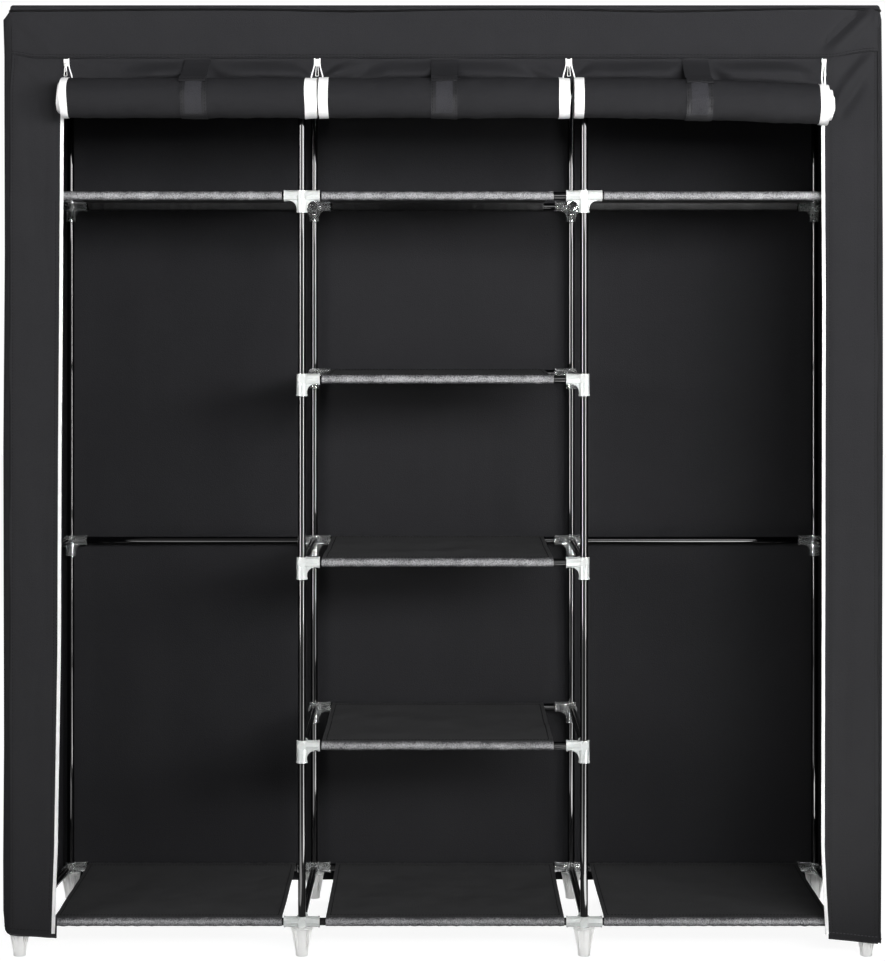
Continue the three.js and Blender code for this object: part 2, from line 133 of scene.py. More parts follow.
# Stretched tight round a front rail, the sleeve is painted lighter, silvery and grainy, as a painted
# highlight.
# Painted shade darkens it where it faces up or down.
litSleeveCloth = {
    **shadedRearSleeveCloth, "name": "spunbond polypropylene sleeve, painted highlight and shade", "dark": "#414143", "light": "#b0b0b2",
    "roughness": (0.3, 0.5), "shine": 0.1, "relief": 0.9 * mm, "paintedEdgeShade": 0.55,
}
# Doubled and edge-sewn for the straps: a tighter face, painted a little darker than the cover as painted
# shade.
shadedStrapCloth = {
    **coverCloth, "name": "spunbond polypropylene strap, painted shade", "dark": "#19191b", "light": "#222224",
    "roughness": (0.5, 0.62), "shine": 0.05, "points": 2 * mm, "clouds": 16 * mm, "relief": 0.3 * mm,
}


def bondedCloth(cloth):
    material, tree, place = startMaterial(cloth["name"])
    clouds = pattern(tree, place, "ShaderNodeTexNoise", cloth["clouds"], {"Detail": 5, "Roughness": 0.62})
    fibres = pattern(tree, place, "ShaderNodeTexNoise", cloth["fibres"], {"Detail": 3, "Roughness": 0.7})
    points = pattern(tree, place, "ShaderNodeTexVoronoi", cloth["points"], {"Randomness": 0.55})
    grain = fibres.outputs["Fac"]
    shade = addNode(tree, "ShaderNodeMath", {"operation": "MULTIPLY_ADD", 1: 0.4},
                    {0: clouds.outputs["Fac"], 2: grain})
    share = addNode(tree, "ShaderNodeMapRange", {"From Min": 0.48, "From Max": 0.92},
                    {"Value": shade.outputs[0]})
    # painted shade: darker where the sleeve faces up or down
    if "paintedEdgeShade" in cloth:
        faces = addNode(tree, "ShaderNodeNewGeometry")
        turned = addNode(tree, "ShaderNodeSeparateXYZ", {}, {"Vector": faces.outputs["Normal"]})
        paintedShadeShare = addNode(tree, "ShaderNodeMath", {"operation": "POWER", 1: 2}, {0: turned.outputs["Z"]})
        share = addNode(tree, "ShaderNodeMath", {"operation": "MULTIPLY_ADD", 1: -cloth["paintedEdgeShade"]},
                        {0: paintedShadeShare.outputs[0], 2: share.outputs[0]})
    low, high = cloth["roughness"]
    rough = addNode(tree, "ShaderNodeMapRange",
                    {"From Min": 0.3, "From Max": 0.7, "To Min": low, "To Max": high}, {"Value": grain})
    height = addNode(tree, "ShaderNodeMath", {"operation": "MULTIPLY_ADD", 1: 0.8},
                     {0: points.outputs["Distance"], 2: grain})
    surface(tree, {"IOR": 1.49, "Specular IOR Level": cloth["shine"]}, {"Roughness": rough.outputs[0]},
            height.outputs[0], {"Strength": 0.7, "Distance": cloth["relief"]},
            (cloth["dark"], cloth["light"], share.outputs[0]))
    return material


# Stoved black enamel on drawn steel tube: a deep gloss black with a faint orange peel.
tubeEnamel = {"colour": "#050506", "roughness": (0.03, 0.07), "shine": 0.15, "peel": 3 * mm,
              "relief": 0.012 * mm, "handling": 45 * mm}


def stovedEnamel(enamel):
    material, tree, place = startMaterial("stoved black enamel on steel")
    peel = pattern(tree, place, "ShaderNodeTexNoise", enamel["peel"], {"Detail": 1})
    handling = pattern(tree, place, "ShaderNodeTexNoise", enamel["handling"], {"Detail": 6, "Roughness": 0.7})
    low, high = enamel["roughness"]
    rough = addNode(tree, "ShaderNodeMapRange",
                    {"From Min": 0.35, "From Max": 0.7, "To Min": low, "To Max": high},
                    {"Value": handling.outputs["Fac"]})
    settings = {"Base Color": linear(enamel["colour"]), "IOR": 1.52, "Specular IOR Level": enamel["shine"]}
    surface(tree, settings, {"Roughness": rough.outputs[0]}, peel.outputs["Fac"],
            {"Strength": 0.4, "Distance": enamel["relief"]})
    return material


# Natural polypropylene, injection moulded: milky and a little see-through, with a soft gloss.
connectorPlastic = {
    "name": "moulded natural polypropylene", "colour": "#e9ebea", "cloudy": "#d6d9d8", "clear": 0.42,
    "roughness": 0.12, "shine": 0.15, "flow": 14 * mm, "grain": 0.8 * mm, "relief": 0.03 * mm,
}
# The rear connectors: a nearly clear copy of the same plastic, so the tubes show through as painted shade.
shadedRearPlastic = {
    "name": "moulded polypropylene, rear copy, painted shade", "colour": "#fdfefe", "cloudy": "#f0f3f3", "clear": 0.95,
    "roughness": 0.03, "shine": 0.35, "flow": 14 * mm, "grain": 9 * mm, "relief": 0.01 * mm,
}
# The feet are the same plastic with white colour in it: whiter and duller.
footPlastic = {
    "name": "moulded white polypropylene", "colour": "#fbfbfa", "cloudy": "#f1f1f0", "clear": 0.45,
    "roughness": 0.36, "shine": 0.3, "flow": 20 * mm, "grain": 1 * mm, "relief": 0.05 * mm,
}


def mouldedPlastic(plastic):
    material, tree, place = startMaterial(plastic["name"])
    flow = pattern(tree, place, "ShaderNodeTexNoise", plastic["flow"], {"Detail": 3, "Distortion": 1.2})
    grain = pattern(tree, place, "ShaderNodeTexNoise", plastic["grain"], {"Detail": 2})
    surface(tree, {"Roughness": plastic["roughness"], "IOR": 1.49, "Specular IOR Level": plastic["shine"],
                   "Transmission Weight": plastic["clear"]}, {}, grain.outputs["Fac"],
            {"Strength": 0.5, "Distance": plastic["relief"]},
            (plastic["cloudy"], plastic["colour"], flow.outputs["Fac"]))
    return material


# Woven polyester zip tape: bright white with fine slanting ribs, drawn at 1.6 mm in place of 0.6 mm.
zipTape = {"colour": "#ededed", "shaded": "#dcdcdc", "ribs": 1.6 * mm, "relief": 0.25 * mm}


def wovenTape(tape):
    material, tree, place = startMaterial("woven white polyester tape")
    slant = addNode(tree, "ShaderNodeMapping", {"Rotation": (0, math.radians(45), 0)}, {"Vector": place})
    # a wave texture's scale is 0.314 over the distance between its crests
    ribs = pattern(tree, slant.outputs[0], "ShaderNodeTexWave", tape["ribs"] / 0.314,
                   {"Distortion": 0.4, "Detail": 1})
    surface(tree, {"Roughness": 0.62, "IOR": 1.5, "Specular IOR Level": 0.3}, {}, ribs.outputs["Fac"],
            {"Strength": 0.6, "Distance": tape["relief"]},
            (tape["shaded"], tape["colour"], ribs.outputs["Fac"]))
    return material


# Zinc, die cast and enamelled white: hard, smooth and bright, a little worn to grey where it is handled.
sliderZinc = {"colour": "#f4f4f2", "worn": "#c9c9c8", "handling": 5 * mm, "relief": 0.05 * mm}


def enamelledZinc(zinc):
    material, tree, place = startMaterial("white enamel on die-cast zinc")
    handling = pattern(tree, place, "ShaderNodeTexNoise", zinc["handling"], {"Detail": 4})
    worn = addNode(tree, "ShaderNodeMapRange", {"From Min": 0.3, "From Max": 0.5},
                   {"Value": handling.outputs["Fac"]})
    surface(tree, {"Roughness": 0.3, "IOR": 1.52}, {}, handling.outputs["Fac"],
            {"Strength": 0.2, "Distance": zinc["relief"]}, (zinc["worn"], zinc["colour"], worn.outputs[0]))
    return material


# Nylon hook-and-loop tape: a slightly greyer, fuzzy patch whose loops catch the light. Loops drawn at 1.5 mm.
loopTape = {"dark": "#202023", "light": "#2f2f33", "loops": 1.5 * mm, "relief": 0.6 * mm}


def loopPile(pile):
    material, tree, place = startMaterial("nylon hook-and-loop tape")
    loops = pattern(tree, place, "ShaderNodeTexVoronoi", pile["loops"]).outputs["Distance"]
    surface(tree, {"Roughness": 0.8, "Specular IOR Level": 0.05, "Sheen Weight": 0.1, "Sheen Roughness": 0.4},
            {}, loops, {"Strength": 0.8, "Distance": pile["relief"], "invert": True},
            (pile["light"], pile["dark"], loops))
    return material


# Twisted polyester sewing thread: small ridges, black on the cover and grey at the right strip's hem.
sewingThread = {"black": "#101011", "grey": "#464649", "twist": 0.9 * mm, "relief": 0.2 * mm}


def twistedThread(shade):
    material, tree, place = startMaterial(f"{shade} polyester thread")
    twist = pattern(tree, place, "ShaderNodeTexNoise", sewingThread["twist"])
    surface(tree, {"Base Color": linear(sewingThread[shade]), "Roughness": 0.55, "Specular IOR Level": 0.02},
            {}, twist.outputs["Fac"], {"Strength": 0.5, "Distance": sewingThread["relief"]})
    return material


coverFinish = bondedCloth(coverCloth)
shadedRollFinish = bondedCloth(shadedRollCloth)
litShelfFinish = bondedCloth(litShelfCloth)
litSleeveFinish = bondedCloth(litSleeveCloth)
shadedRearSleeveFinish = bondedCloth(shadedRearSleeveCloth)
shadedStrapFinish = bondedCloth(shadedStrapCloth)
enamelFinish = stovedEnamel(tubeEnamel)
# the rear connectors take the nearly clear copy, as painted shade
connectorFinish = {"front": mouldedPlastic(connectorPlastic), "rear": mouldedPlastic(shadedRearPlastic)}
footFinish = mouldedPlastic(footPlastic)
tapeFinish = wovenTape(zipTape)
zincFinish = enamelledZinc(sliderZinc)
loopFinish = loopPile(loopTape)
blackThread = twistedThread("black")
greyThread = twistedThread("grey")
print("materials made")


# Meshes

def linked(name, data, at=(0, 0, 0)):
    item = bpy.data.objects.new(name, data)
    bpy.context.scene.collection.objects.link(item)
    item.location = at
    return item


def addObject(name, mesh, slot, body="wardrobe", node=None, at=(0, 0, 0)):
    piece = linked(name, mesh, at)
    if body:
        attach(piece, body)
    if node:
        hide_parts(node)
    return piece


def smoothMesh(mesh, material, sharpAngle):
    mesh.polygons.foreach_set("use_smooth", [True] * len(mesh.polygons))
    mesh.set_sharp_from_angle(angle=math.radians(sharpAngle))
    mesh.materials.clear()
    mesh.materials.append(material)


def addPiece(name, points, faces, material, slot, sharpAngle=35, **held):
    mesh = bpy.data.meshes.new(name)
    mesh.from_pydata(np.asarray(points, float).tolist(), [], [list(face) for face in faces])
    smoothMesh(mesh, material, sharpAngle)
    return addObject(name, mesh, slot, **held)


def smooth(value, start, end):
    share = np.clip((value - start) / (end - start), 0, 1)
    return share * share * (3 - 2 * share)


def ripples(seed, longest, shortest, lean=0.5, count=8):
    # A repeatable wavy height of about -1 to 1 over two lengths. Its crests run mostly along the second.
    chance = random.Random(seed)
    waves = []
    for _ in range(count):
        length = math.exp(chance.uniform(math.log(shortest), math.log(longest)))
        heading = chance.gauss(0, lean)
        rate = math.tau / length
        waves.append((rate * math.cos(heading), rate * math.sin(heading),
                      chance.uniform(0, math.tau), (length / longest) ** 0.6))
    size = math.sqrt(sum(wave[3] ** 2 for wave in waves))

    def height(first, second):
        return sum(w * np.sin(p * first + q * second + start) for p, q, start, w in waves) / size
    return height


def foldAlong(x, z, start, end, width):
    # A soft ridge, 1 high, along the line between two places. It fades out at both ends.
    (x0, z0), (x1, z1) = start, end
    length = math.hypot(x1 - x0, z1 - z0)
    along = ((x - x0) * (x1 - x0) + (z - z0) * (z1 - z0)) / length ** 2
    off = ((x - x0) * (z1 - z0) - (z - z0) * (x1 - x0)) / length
    return np.exp(-(off / width) ** 2) * smooth(along, -0.15, 0.2) * smooth(-along, -1.15, -0.8)


def furrow(off):
    # The small groove that a row of stitches draws into the cloth, 1 deep at the thread
    return np.exp(-(off / stitch["furrowWidth"]) ** 2)


def spread(across, down):
    # Shares across and down a sheet, one for each point of its grid
    return np.meshgrid(np.linspace(0, 1, across + 1), np.linspace(0, 1, down + 1))


def line(x, y, z, pick):
    # One row, column or run of places from a sheet's grid
    return np.stack([part[pick] for part in (x, y, z)], -1)


def seam(x, y, z, pick, lift, outward):
    # The same, raised off the cloth, with the direction that the cloth faces there
    return line(x, y, z, pick) + lift * np.array(outward), outward


def sheetPiece(name, x, y, z, thickness, material, slot, **held):
    # A closed sheet of cloth with its middle on the grid. Held says what it rides on and replaces.
    middle = np.stack(np.broadcast_arrays(x, y, z), axis=-1)
    count = middle.shape[0] * middle.shape[1]
    normal = np.cross(np.gradient(middle, axis=1), np.gradient(middle, axis=0))
    normal /= np.maximum(np.linalg.norm(normal, axis=2, keepdims=True), 1e-12)
    half = normal * np.asarray(thickness)[..., None] / 2
    index = np.arange(count).reshape(middle.shape[:2])
    a, b, c, d = index[:-1, :-1], index[1:, :-1], index[1:, 1:], index[:-1, 1:]
    front = np.stack([a, d, c, b], -1).reshape(-1, 4)
    back = np.stack([a, b, c, d], -1).reshape(-1, 4) + count
    edge = np.concatenate([index[0], index[1:, -1], index[-1, -2::-1], index[-2:0:-1, 0]])
    following = np.roll(edge, -1)
    rim = np.stack([following, edge, edge + count, following + count], -1)
    points = np.concatenate([(middle + half).reshape(-1, 3), (middle - half).reshape(-1, 3)])
    return addPiece(name, points, np.concatenate([front, back, rim]), material, slot, **held)


def evenPlaces(path, pitch):
    # Points and directions at even steps along a path
    lengths = np.concatenate([[0], np.cumsum(np.linalg.norm(np.diff(path, axis=0), axis=1))])
    count = max(int(lengths[-1] / pitch), 2)
    along = (np.arange(count) + 0.5) * lengths[-1] / count
    at = np.stack([np.interp(along, lengths, path[:, k]) for k in range(3)], -1)
    ahead = np.stack([np.interp(along + pitch / 4, lengths, path[:, k]) for k in range(3)], -1)
    behind = np.stack([np.interp(along - pitch / 4, lengths, path[:, k]) for k in range(3)], -1)
    direction = ahead - behind
    return at, direction / np.linalg.norm(direction, axis=1, keepdims=True)


stitch = {"length": 4.6 * mm, "pitch": 6 * mm, "width": 1.4 * mm, "rise": 0.5 * mm, "blunt": 0.3,
          "furrow": 0.8 * mm, "furrowWidth": 1.3 * mm}


def stitches(name, seams, material, slot):
    # seams: pairs of a path and the direction that the cloth faces there
    points, faces = [], []
    for path, outward in seams:
        path = np.asarray(path, float)
        outward = np.asarray(outward, float) / np.linalg.norm(outward)
        at, along = evenPlaces(path, stitch["pitch"])
        beside = np.cross(outward, along)
        far, near = stitch["length"] / 2, stitch["length"] * stitch["blunt"]
        wide, high = stitch["width"] / 2, stitch["rise"]
        section = ((wide, 0), (0, high), (-wide, 0), (0, -high))
        corners = [(-far, 0, 0), (far, 0, 0)] + [(reach, w, h) for reach in (-near, near) for w, h in section]
        start = sum(len(p) for p in points)
        block = np.stack([at + along * l + beside * w + outward * h for l, w, h in corners], 1)
        points.append(block.reshape(-1, 3))
        for k in range(len(at)):
            base = start + k * len(corners)
            for turn in range(4):
                p, q = base + 2 + turn, base + 2 + (turn + 1) % 4
                faces += [(base, q, p), (p, q, q + 4, p + 4), (base + 1, p + 4, q + 4)]
    return addPiece(name, np.concatenate(points), faces, material, slot, sharpAngle=80)


def bead(name, paths, radius, material, slot, around=6, **held):
    # A closed round bead along each path, such as a zip's coil or a seam's ridge
    points, faces = [], []
    for path in paths:
        path = np.asarray(path, float)
        along = np.gradient(path, axis=0)
        along /= np.linalg.norm(along, axis=1, keepdims=True)
        guide = np.eye(3)[np.argmin(np.abs(along).sum(0))]
        first = np.cross(along, guide)
        first /= np.linalg.norm(first, axis=1, keepdims=True)
        second = np.cross(along, first)
        start = sum(len(p) for p in points)
        turns = np.linspace(0, math.tau, around, endpoint=False)
        ring = [path + radius * (first * math.cos(t) + second * math.sin(t)) for t in turns]
        points.append(np.stack(ring, 1).reshape(-1, 3))
        for k in range(len(path) - 1):
            for t in range(around):
                p, q = start + k * around + t, start + k * around + (t + 1) % around
                faces.append((p, q, q + around, p + around))
        last = start + (len(path) - 1) * around
        faces += [tuple(range(start + around - 1, start - 1, -1)), tuple(range(last, last + around))]
    return addPiece(name, np.concatenate(points), faces, material, slot, sharpAngle=60, **held)


# Frame: where the columns and levels are

levelNodes = ["bottom_frame", "shelf_frame_1", "mid_frame_2", "shelf_frame_3", "upper_frame_4", "top_frame_5"]
connector = {
    "arm": 9.5 * mm, "armLength": 32 * mm, "core": 9.5 * mm, "wall": 8.7 * mm, "ribs": 8, "rib": 0.9 * mm,
    "collar": 10.3 * mm, "collarWidth": 3 * mm, "downArm": 30 * mm, "bore": 7.1 * mm, "boreStart": 8.6 * mm,
    "webReach": 22 * mm, "webDrop": 24 * mm, "webThickness": 7 * mm, "cap": 2 * mm,
    "boss": 7.4 * mm, "bossRise": 10.3 * mm, "dish": 5.9 * mm, "dishFloor": 9.3 * mm,
}
tube = {"radius": 6.8 * mm, "around": 40, "chamfer": 0.7 * mm, "inside": 4 * mm, "inArm": 9.5 * mm}
levelHeights = [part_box(node)[1].z - connector["arm"] for node in levelNodes]
outerLevels = (0, 2, 4, 5)
sideRailLevels = {"front": (0, 4, 5), "rear": outerLevels}


def middleOf(node):
    return [(low + high) / 2 for low, high in zip(*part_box(node))]


def columnAt(row, column, height=0):
    x, y, _ = middleOf(f"upright_{row}_{column}")
    return Vector((x, y, height))


def extruded(outline, origin, across, up, length):
    # A prism: its outline lies along across and up, and it runs square to both
    along = across.cross(up)
    count = len(outline)
    points = [origin + across * p + up * q + along * reach for reach in (0, length) for p, q in outline]
    faces = [tuple(range(count - 1, -1, -1)), tuple(range(count, 2 * count))]
    faces += [(k, (k + 1) % count, (k + 1) % count + count, k + count) for k in range(count)]
    return [tuple(p) for p in points], faces


def circle(radius, around=32):
    turns = [math.tau * k / around for k in range(around)]
    return [(radius * math.cos(t), radius * math.sin(t)) for t in turns]


def ribbed(radius, count, rise, around=64):
    outline = []
    for k in range(around):
        turn = math.tau * k / around
        reach = radius + rise * max(math.cos(count * turn), 0) ** 2
        outline.append((reach * math.cos(turn), reach * math.sin(turn)))
    return outline


def joinSolids(name, bodies, bores, material):
    # Joins the bodies into one solid, cuts the bores and returns its mesh
    solids = []
    for k, (points, faces) in enumerate(bodies + bores):
        mesh = bpy.data.meshes.new(f"{name}{k}")
        mesh.from_pydata(points, [], faces)
        solids.append(linked(f"{name}{k}", mesh))
    for k, solid in enumerate(solids[1:], 1):
        step = solids[0].modifiers.new("step", "BOOLEAN")
        step.object = solid
        step.operation = "UNION" if k < len(bodies) else "DIFFERENCE"
        step.solver = "MANIFOLD"
    bpy.context.view_layer.update()
    made = bpy.data.meshes.new_from_object(solids[0].evaluated_get(bpy.context.evaluated_depsgraph_get()))
    for solid in solids:
        bpy.data.objects.remove(solid)
    made.name = name
    smoothMesh(made, material, 32)
    return made


up, right, back = Vector((0, 0, 1)), Vector((1, 0, 0)), Vector((0, 1, 0))


def connectorMesh(name, arms, downArm, open, finish):
    bottom = -connector["downArm"] if downArm else -connector["arm"]
    height = connector["core"] - bottom
    reach, collar = connector["armLength"], connector["collarWidth"]
    collarRing = circle(connector["collar"], 40)
    bodies = [extruded(circle(connector["core"], 40), up * bottom, right, back, height)]
    bores = [extruded(circle(connector["bore"]), up * (bottom - mm), right, back,
                      height + mm + (mm if open else -connector["cap"]))]
    if downArm:
        bodies.append(extruded(collarRing, up * bottom, right, back, collar))
    for arm in arms:
        across = up.cross(arm)
        outline = ribbed(connector["wall"], connector["ribs"], connector["rib"])
        bodies.append(extruded(outline, Vector(), across, up, reach - collar / 2))
        bodies.append(extruded(collarRing, arm * (reach - collar), across, up, collar))
        bores.append(extruded(circle(connector["bore"]), arm * connector["boreStart"], across, up, reach))
        if downArm:
            # a quarter round, hollow side out, from the arm down to the down arm
            far, drop, clear = connector["webReach"], connector["webDrop"], connector["arm"] - 0.4 * mm
            turns = [k * math.pi / 20 for k in range(11)]
            curve = [(far - (far - clear) * math.cos(t), (drop - clear) * math.sin(t) - drop) for t in turns]
            outline = [(0, 0), (0, -drop)] + curve + [(far, 0)]
            beside = arm.cross(up)
            thickness = connector["webThickness"]
            bodies.append(extruded(outline, beside * (-thickness / 2), arm, up, thickness))
    front = -sum(arms, Vector()).project(back)
    front = front.normalized() if front.length > 0.5 else -back
    across = up.cross(front)
    bodies.append(extruded(circle(connector["boss"]), Vector(), across, up, connector["bossRise"]))
    dishAt = front * connector["dishFloor"]
    bores.append(extruded(circle(connector["dish"]), dishAt, across, up, connector["arm"]))
    return joinSolids(name, bodies, bores, finish)


def tubePiece(name, start, end, node):
    direction = (end - start).normalized()
    across = direction.orthogonal().normalized()
    beside = direction.cross(across)
    length = (end - start).length
    radius, chamfer, around = tube["radius"], tube["chamfer"], tube["around"]
    points, faces = [], []
    slim = radius - chamfer
    for reach, size in ((0, slim), (chamfer, radius), (length - chamfer, radius), (length, slim)):
        points += [start + direction * reach + across * p + beside * q for p, q in circle(size, around)]
    for ring in range(3):
        for k in range(around):
            p, q = ring * around + k, ring * around + (k + 1) % around
            faces.append((p, q, q + around, p + around))
    faces += [tuple(range(around - 1, -1, -1)), tuple(range(3 * around, 4 * around))]
    addPiece(name, points, faces, enamelFinish, "black_enamel", node=node)


connectorMeshes = {}
for row in rows:
    for column in columns:
        levels = outerLevels if column in (1, 4) else tuple(range(6))
        other = rows[1 - rows.index(row)]
        for place, level in enumerate(levels):
            height = levelHeights[level]
            at = columnAt(row, column, height)
            neighbours = [(other, column)]
            for step in (-1, 1):
                beyond = column + step
                if 1 <= beyond <= 4 and ({column, beyond} == {2, 3} or level in sideRailLevels[row]):
                    neighbours.append((row, beyond))
            arms = [(columnAt(r, c, height) - at).normalized() for r, c in neighbours]
            kind = (row, level > 0, level < 5, tuple(tuple(round(v, 3) for v in arm) for arm in arms))
            if kind not in connectorMeshes:
                label = f"connector_kind_{len(connectorMeshes) + 1}"
                # rear connectors: the nearly clear copy of the plastic, as painted shade
                connectorMeshes[kind] = connectorMesh(label, arms, level > 0, level < 5, connectorFinish[row])
            addObject(f"connector_{row}_{column}_level_{level}", connectorMeshes[kind], "frame_plastic",
                      node=levelNodes[level], at=at)
            if place:
                lower = columnAt(row, column, levelHeights[levels[place - 1]] + tube["inside"])
                tubePiece(f"tube_{row}_{column}_below_level_{level}", lower, at - up * tube["inside"],
                          f"upright_{row}_{column}")
            # each rail is made once: from the left, or from the front
            for r, c in neighbours:
                far = columnAt(r, c, height)
                if (r == row and c > column) or (r != row and row == "front"):
                    way = (far - at).normalized() * tube["inArm"]
                    label = f"rail_{row}_{column}" if r == row else f"side_rail_{column}"
                    tubePiece(f"{label}_level_{level}", at + way, far - way, levelNodes[level])
print("tubes and connectors made")

foot = {
    "topPlate": 19.4 * mm, "plateDepth": 1.8 * mm, "coreTop": 12.6 * mm, "coreFoot": 10.9 * mm,
    "plateEdge": 0.5 * mm, "plateTopEdge": 0.4 * mm, "gap": 0.3 * mm, "sole": 10.2 * mm, "fins": 8,
    "finThickness": 2.2 * mm, "finRoot": 6 * mm, "finFoot": 11.2 * mm,
    "finEnd": 8 * mm, "peg": 6.7 * mm, "round": 1 * mm,
}


def turned(profile, around=40):
    points, faces = [(0, 0, profile[0][1])], []
    for radius, height in profile:
        points += [(p, q, height) for p, q in circle(radius, around)]
    points.append((0, 0, profile[-1][1]))
    last = len(points) - 1
    for k in range(around):
        ahead = (k + 1) % around
        faces.append((0, 1 + ahead, 1 + k))
        for ring in range(len(profile) - 1):
            p, q = 1 + ring * around + k, 1 + ring * around + ahead
            faces.append((p, q, q + around, p + around))
        faces.append((last - around + k, last - around + ahead, last))
    return points, faces


def footMesh():
    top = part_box("bottom_frame")[0].z - foot["gap"]
    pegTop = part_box("foot_front_1")[1].z
    plate, under, core, peg = foot["topPlate"], top - foot["plateDepth"], foot["coreTop"], foot["peg"]
    edge, topEdge = foot["plateEdge"], foot["plateTopEdge"]
    bodies = [
        turned([(foot["sole"], 0), (foot["coreFoot"], foot["round"]), (core, top - mm), (core, top)]),
        turned([(plate - edge, under), (plate, under + edge), (plate, top - topEdge),
                (plate - topEdge, top)]),
        turned([(peg, top - 2 * mm), (peg, pegTop - mm), (peg - mm, pegTop)]),
    ]
    for k in range(foot["fins"]):
        turn = math.tau * k / foot["fins"]
        out = Vector((math.cos(turn), math.sin(turn), 0))
        outline = [(foot["finRoot"], foot["finEnd"]), (foot["finFoot"], foot["finEnd"]),
                   (plate - 0.2 * mm, top - mm), (foot["finRoot"], top - mm)]
        beside = out.cross(up)
        bodies.append(extruded(outline, beside * (-foot["finThickness"] / 2), out, up, foot["finThickness"]))
    return joinSolids("foot_mesh", bodies, [], footFinish)


footShape = footMesh()
for row in rows:
    for column in columns:
        addObject(f"finned_foot_{row}_{column}", footShape, "white_plastic", node=f"foot_{row}_{column}",
                  at=columnAt(row, column))
print("feet made")


# Shelves: a sheet whose front and rear edges are sewn into sleeves round the rails

shelf = {
    "cloth": 0.8 * mm, "sleeve": 7.5 * mm, "seam": 16 * mm, "turnIn": 6 * mm, "sag": 4 * mm,
    "crease": 0.32 * mm, "creases": (26 * mm, 9 * mm), "ripple": 1.4 * mm, "ripples": (260 * mm, 50 * mm),
    "hem": 9 * mm,
    "seamDrop": 1.2 * mm, "sideGap": 0.5 * mm, "across": 110, "round": 16, "flat": 26,
}


def shelfProfile(frontAt, rearAt, height):
    # From the front seam round the front rail, over the top, round the rear rail and to the rear seam.
    # Returns the path as y and z, the direction off the sleeve at each point, and which points lie on top.
    radius, seamAt = shelf["sleeve"], frontAt + shelf["seam"]
    rise = radius - shelf["seamDrop"]
    startTurn = math.atan2(rise, shelf["seam"]) - math.acos(radius / math.hypot(shelf["seam"], rise))
    turns = np.linspace(startTurn, -1.5 * math.pi, shelf["round"] + 1)
    start = [(seamAt + shelf["turnIn"], height + rise), (seamAt, height + rise)]
    frontLoop = [(frontAt + radius * math.cos(t), height + radius * math.sin(t)) for t in turns]
    flat = np.linspace(frontAt, rearAt, shelf["flat"] + 1)[1:-1]
    top = [(y, height + radius) for y in flat]
    rearLoop = [(rearAt - (y - frontAt), z) for y, z in reversed(frontLoop)]
    end = [(rearAt - (y - frontAt), z) for y, z in reversed(start)]
    path = np.array(start + frontLoop + top + rearLoop + end)
    nearest = np.where(path[:, 0] < (frontAt + rearAt) / 2, frontAt, rearAt)
    out = path - np.stack([nearest, np.full(len(path), height)], -1)
    out /= np.maximum(np.linalg.norm(out, axis=1, keepdims=True), 1e-6)
    onTop = np.zeros(len(path))
    onTop[len(start) + len(frontLoop):len(path) - len(rearLoop) - len(end)] = 1
    return path, out, onTop


def shelfPiece(node, seed):
    low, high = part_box(node)
    frontAt, rearAt = columnAt("front", 2).y, columnAt("rear", 2).y
    height = middleOf(node)[2]
    path, out, onTop = shelfProfile(frontAt, rearAt, height)
    x = np.linspace(low.x + shelf["sideGap"], high.x - shelf["sideGap"], shelf["across"] + 1)
    grid, depth = np.meshgrid(x, path[:, 0])
    depthShare = (depth - frontAt) / (rearAt - frontAt)
    wide = (grid - x[0]) / (x[-1] - x[0])
    crease = ripples(seed, *shelf["creases"], 0.9)
    around = np.arange(len(path))[:, None] * 1.6 * mm + 0 * grid
    rough = shelf["crease"] * crease(grid, around) * (1 - onTop[:, None])
    y = depth + out[:, :1] * rough
    z = path[:, 1:] + out[:, 1:] * rough
    wavy = ripples(seed + 50, *shelf["ripples"], 0.8)
    slack = onTop[:, None] * np.sin(math.pi * np.clip(depthShare, 0, 1))
    sag = shelf["sag"] * (0.55 + 0.45 * np.sin(math.pi * wide))
    z = z - slack * (sag - shelf["ripple"] * wavy(grid, depth))
    hem = smooth(np.minimum(grid - x[0], x[-1] - grid), shelf["hem"] + mm, shelf["hem"])
    cloth = shelf["cloth"] * (1 + 0.8 * hem * onTop[:, None])
    # the shelf's top: the cloth painted lighter as painted light
    piece = sheetPiece(f"{node}_cloth", grid, y, z, cloth, litShelfFinish, "shelf_fabric", node=node)
    # the front sleeves: painted highlight and painted shade
    piece.data.materials.append(litSleeveFinish)
    # the rear sleeves: painted shade
    piece.data.materials.append(shadedRearSleeveFinish)
    # faces round the rails, apart from those on the shelf's top
    nearFront = path[:-1, 0] < (frontAt + rearAt) / 2
    inSleeve = np.repeat((onTop[:-1] + onTop[1:] < 1) * np.where(nearFront, 1, 2), shelf["across"])
    kinds = np.zeros(len(piece.data.polygons), int)
    kinds[:len(inSleeve)] = kinds[len(inSleeve):2 * len(inSleeve)] = inSleeve
    piece.data.polygons.foreach_set("material_index", kinds)
    seams = []
    for at in (frontAt + shelf["seam"], rearAt - shelf["seam"]):
        row = int(np.argmin(np.abs(depth[:, 0] - at) + 10 * (1 - onTop)))
        seams.append(seam(grid, y, z, row, 0.6 * mm, (0, 0, 1)))
    for column in (2, -3):
        seams.append(seam(grid, y, z, (np.flatnonzero(onTop), column), 0.8 * mm, (0, 0, 1)))
    stitches(f"{node}_stitches", seams, blackThread, "shelf_fabric")


shelfNodes = [f"shelf_bottom_{side}" for side in sides] + [f"shelf_center_{k}" for k in (1, 2, 3)]
shelfNodes += [f"shelf_upper_{side}" for side in sides]
for seed, node in enumerate(shelfNodes, 100):
    shelfPiece(node, seed)
print("shelves made")


# Cover

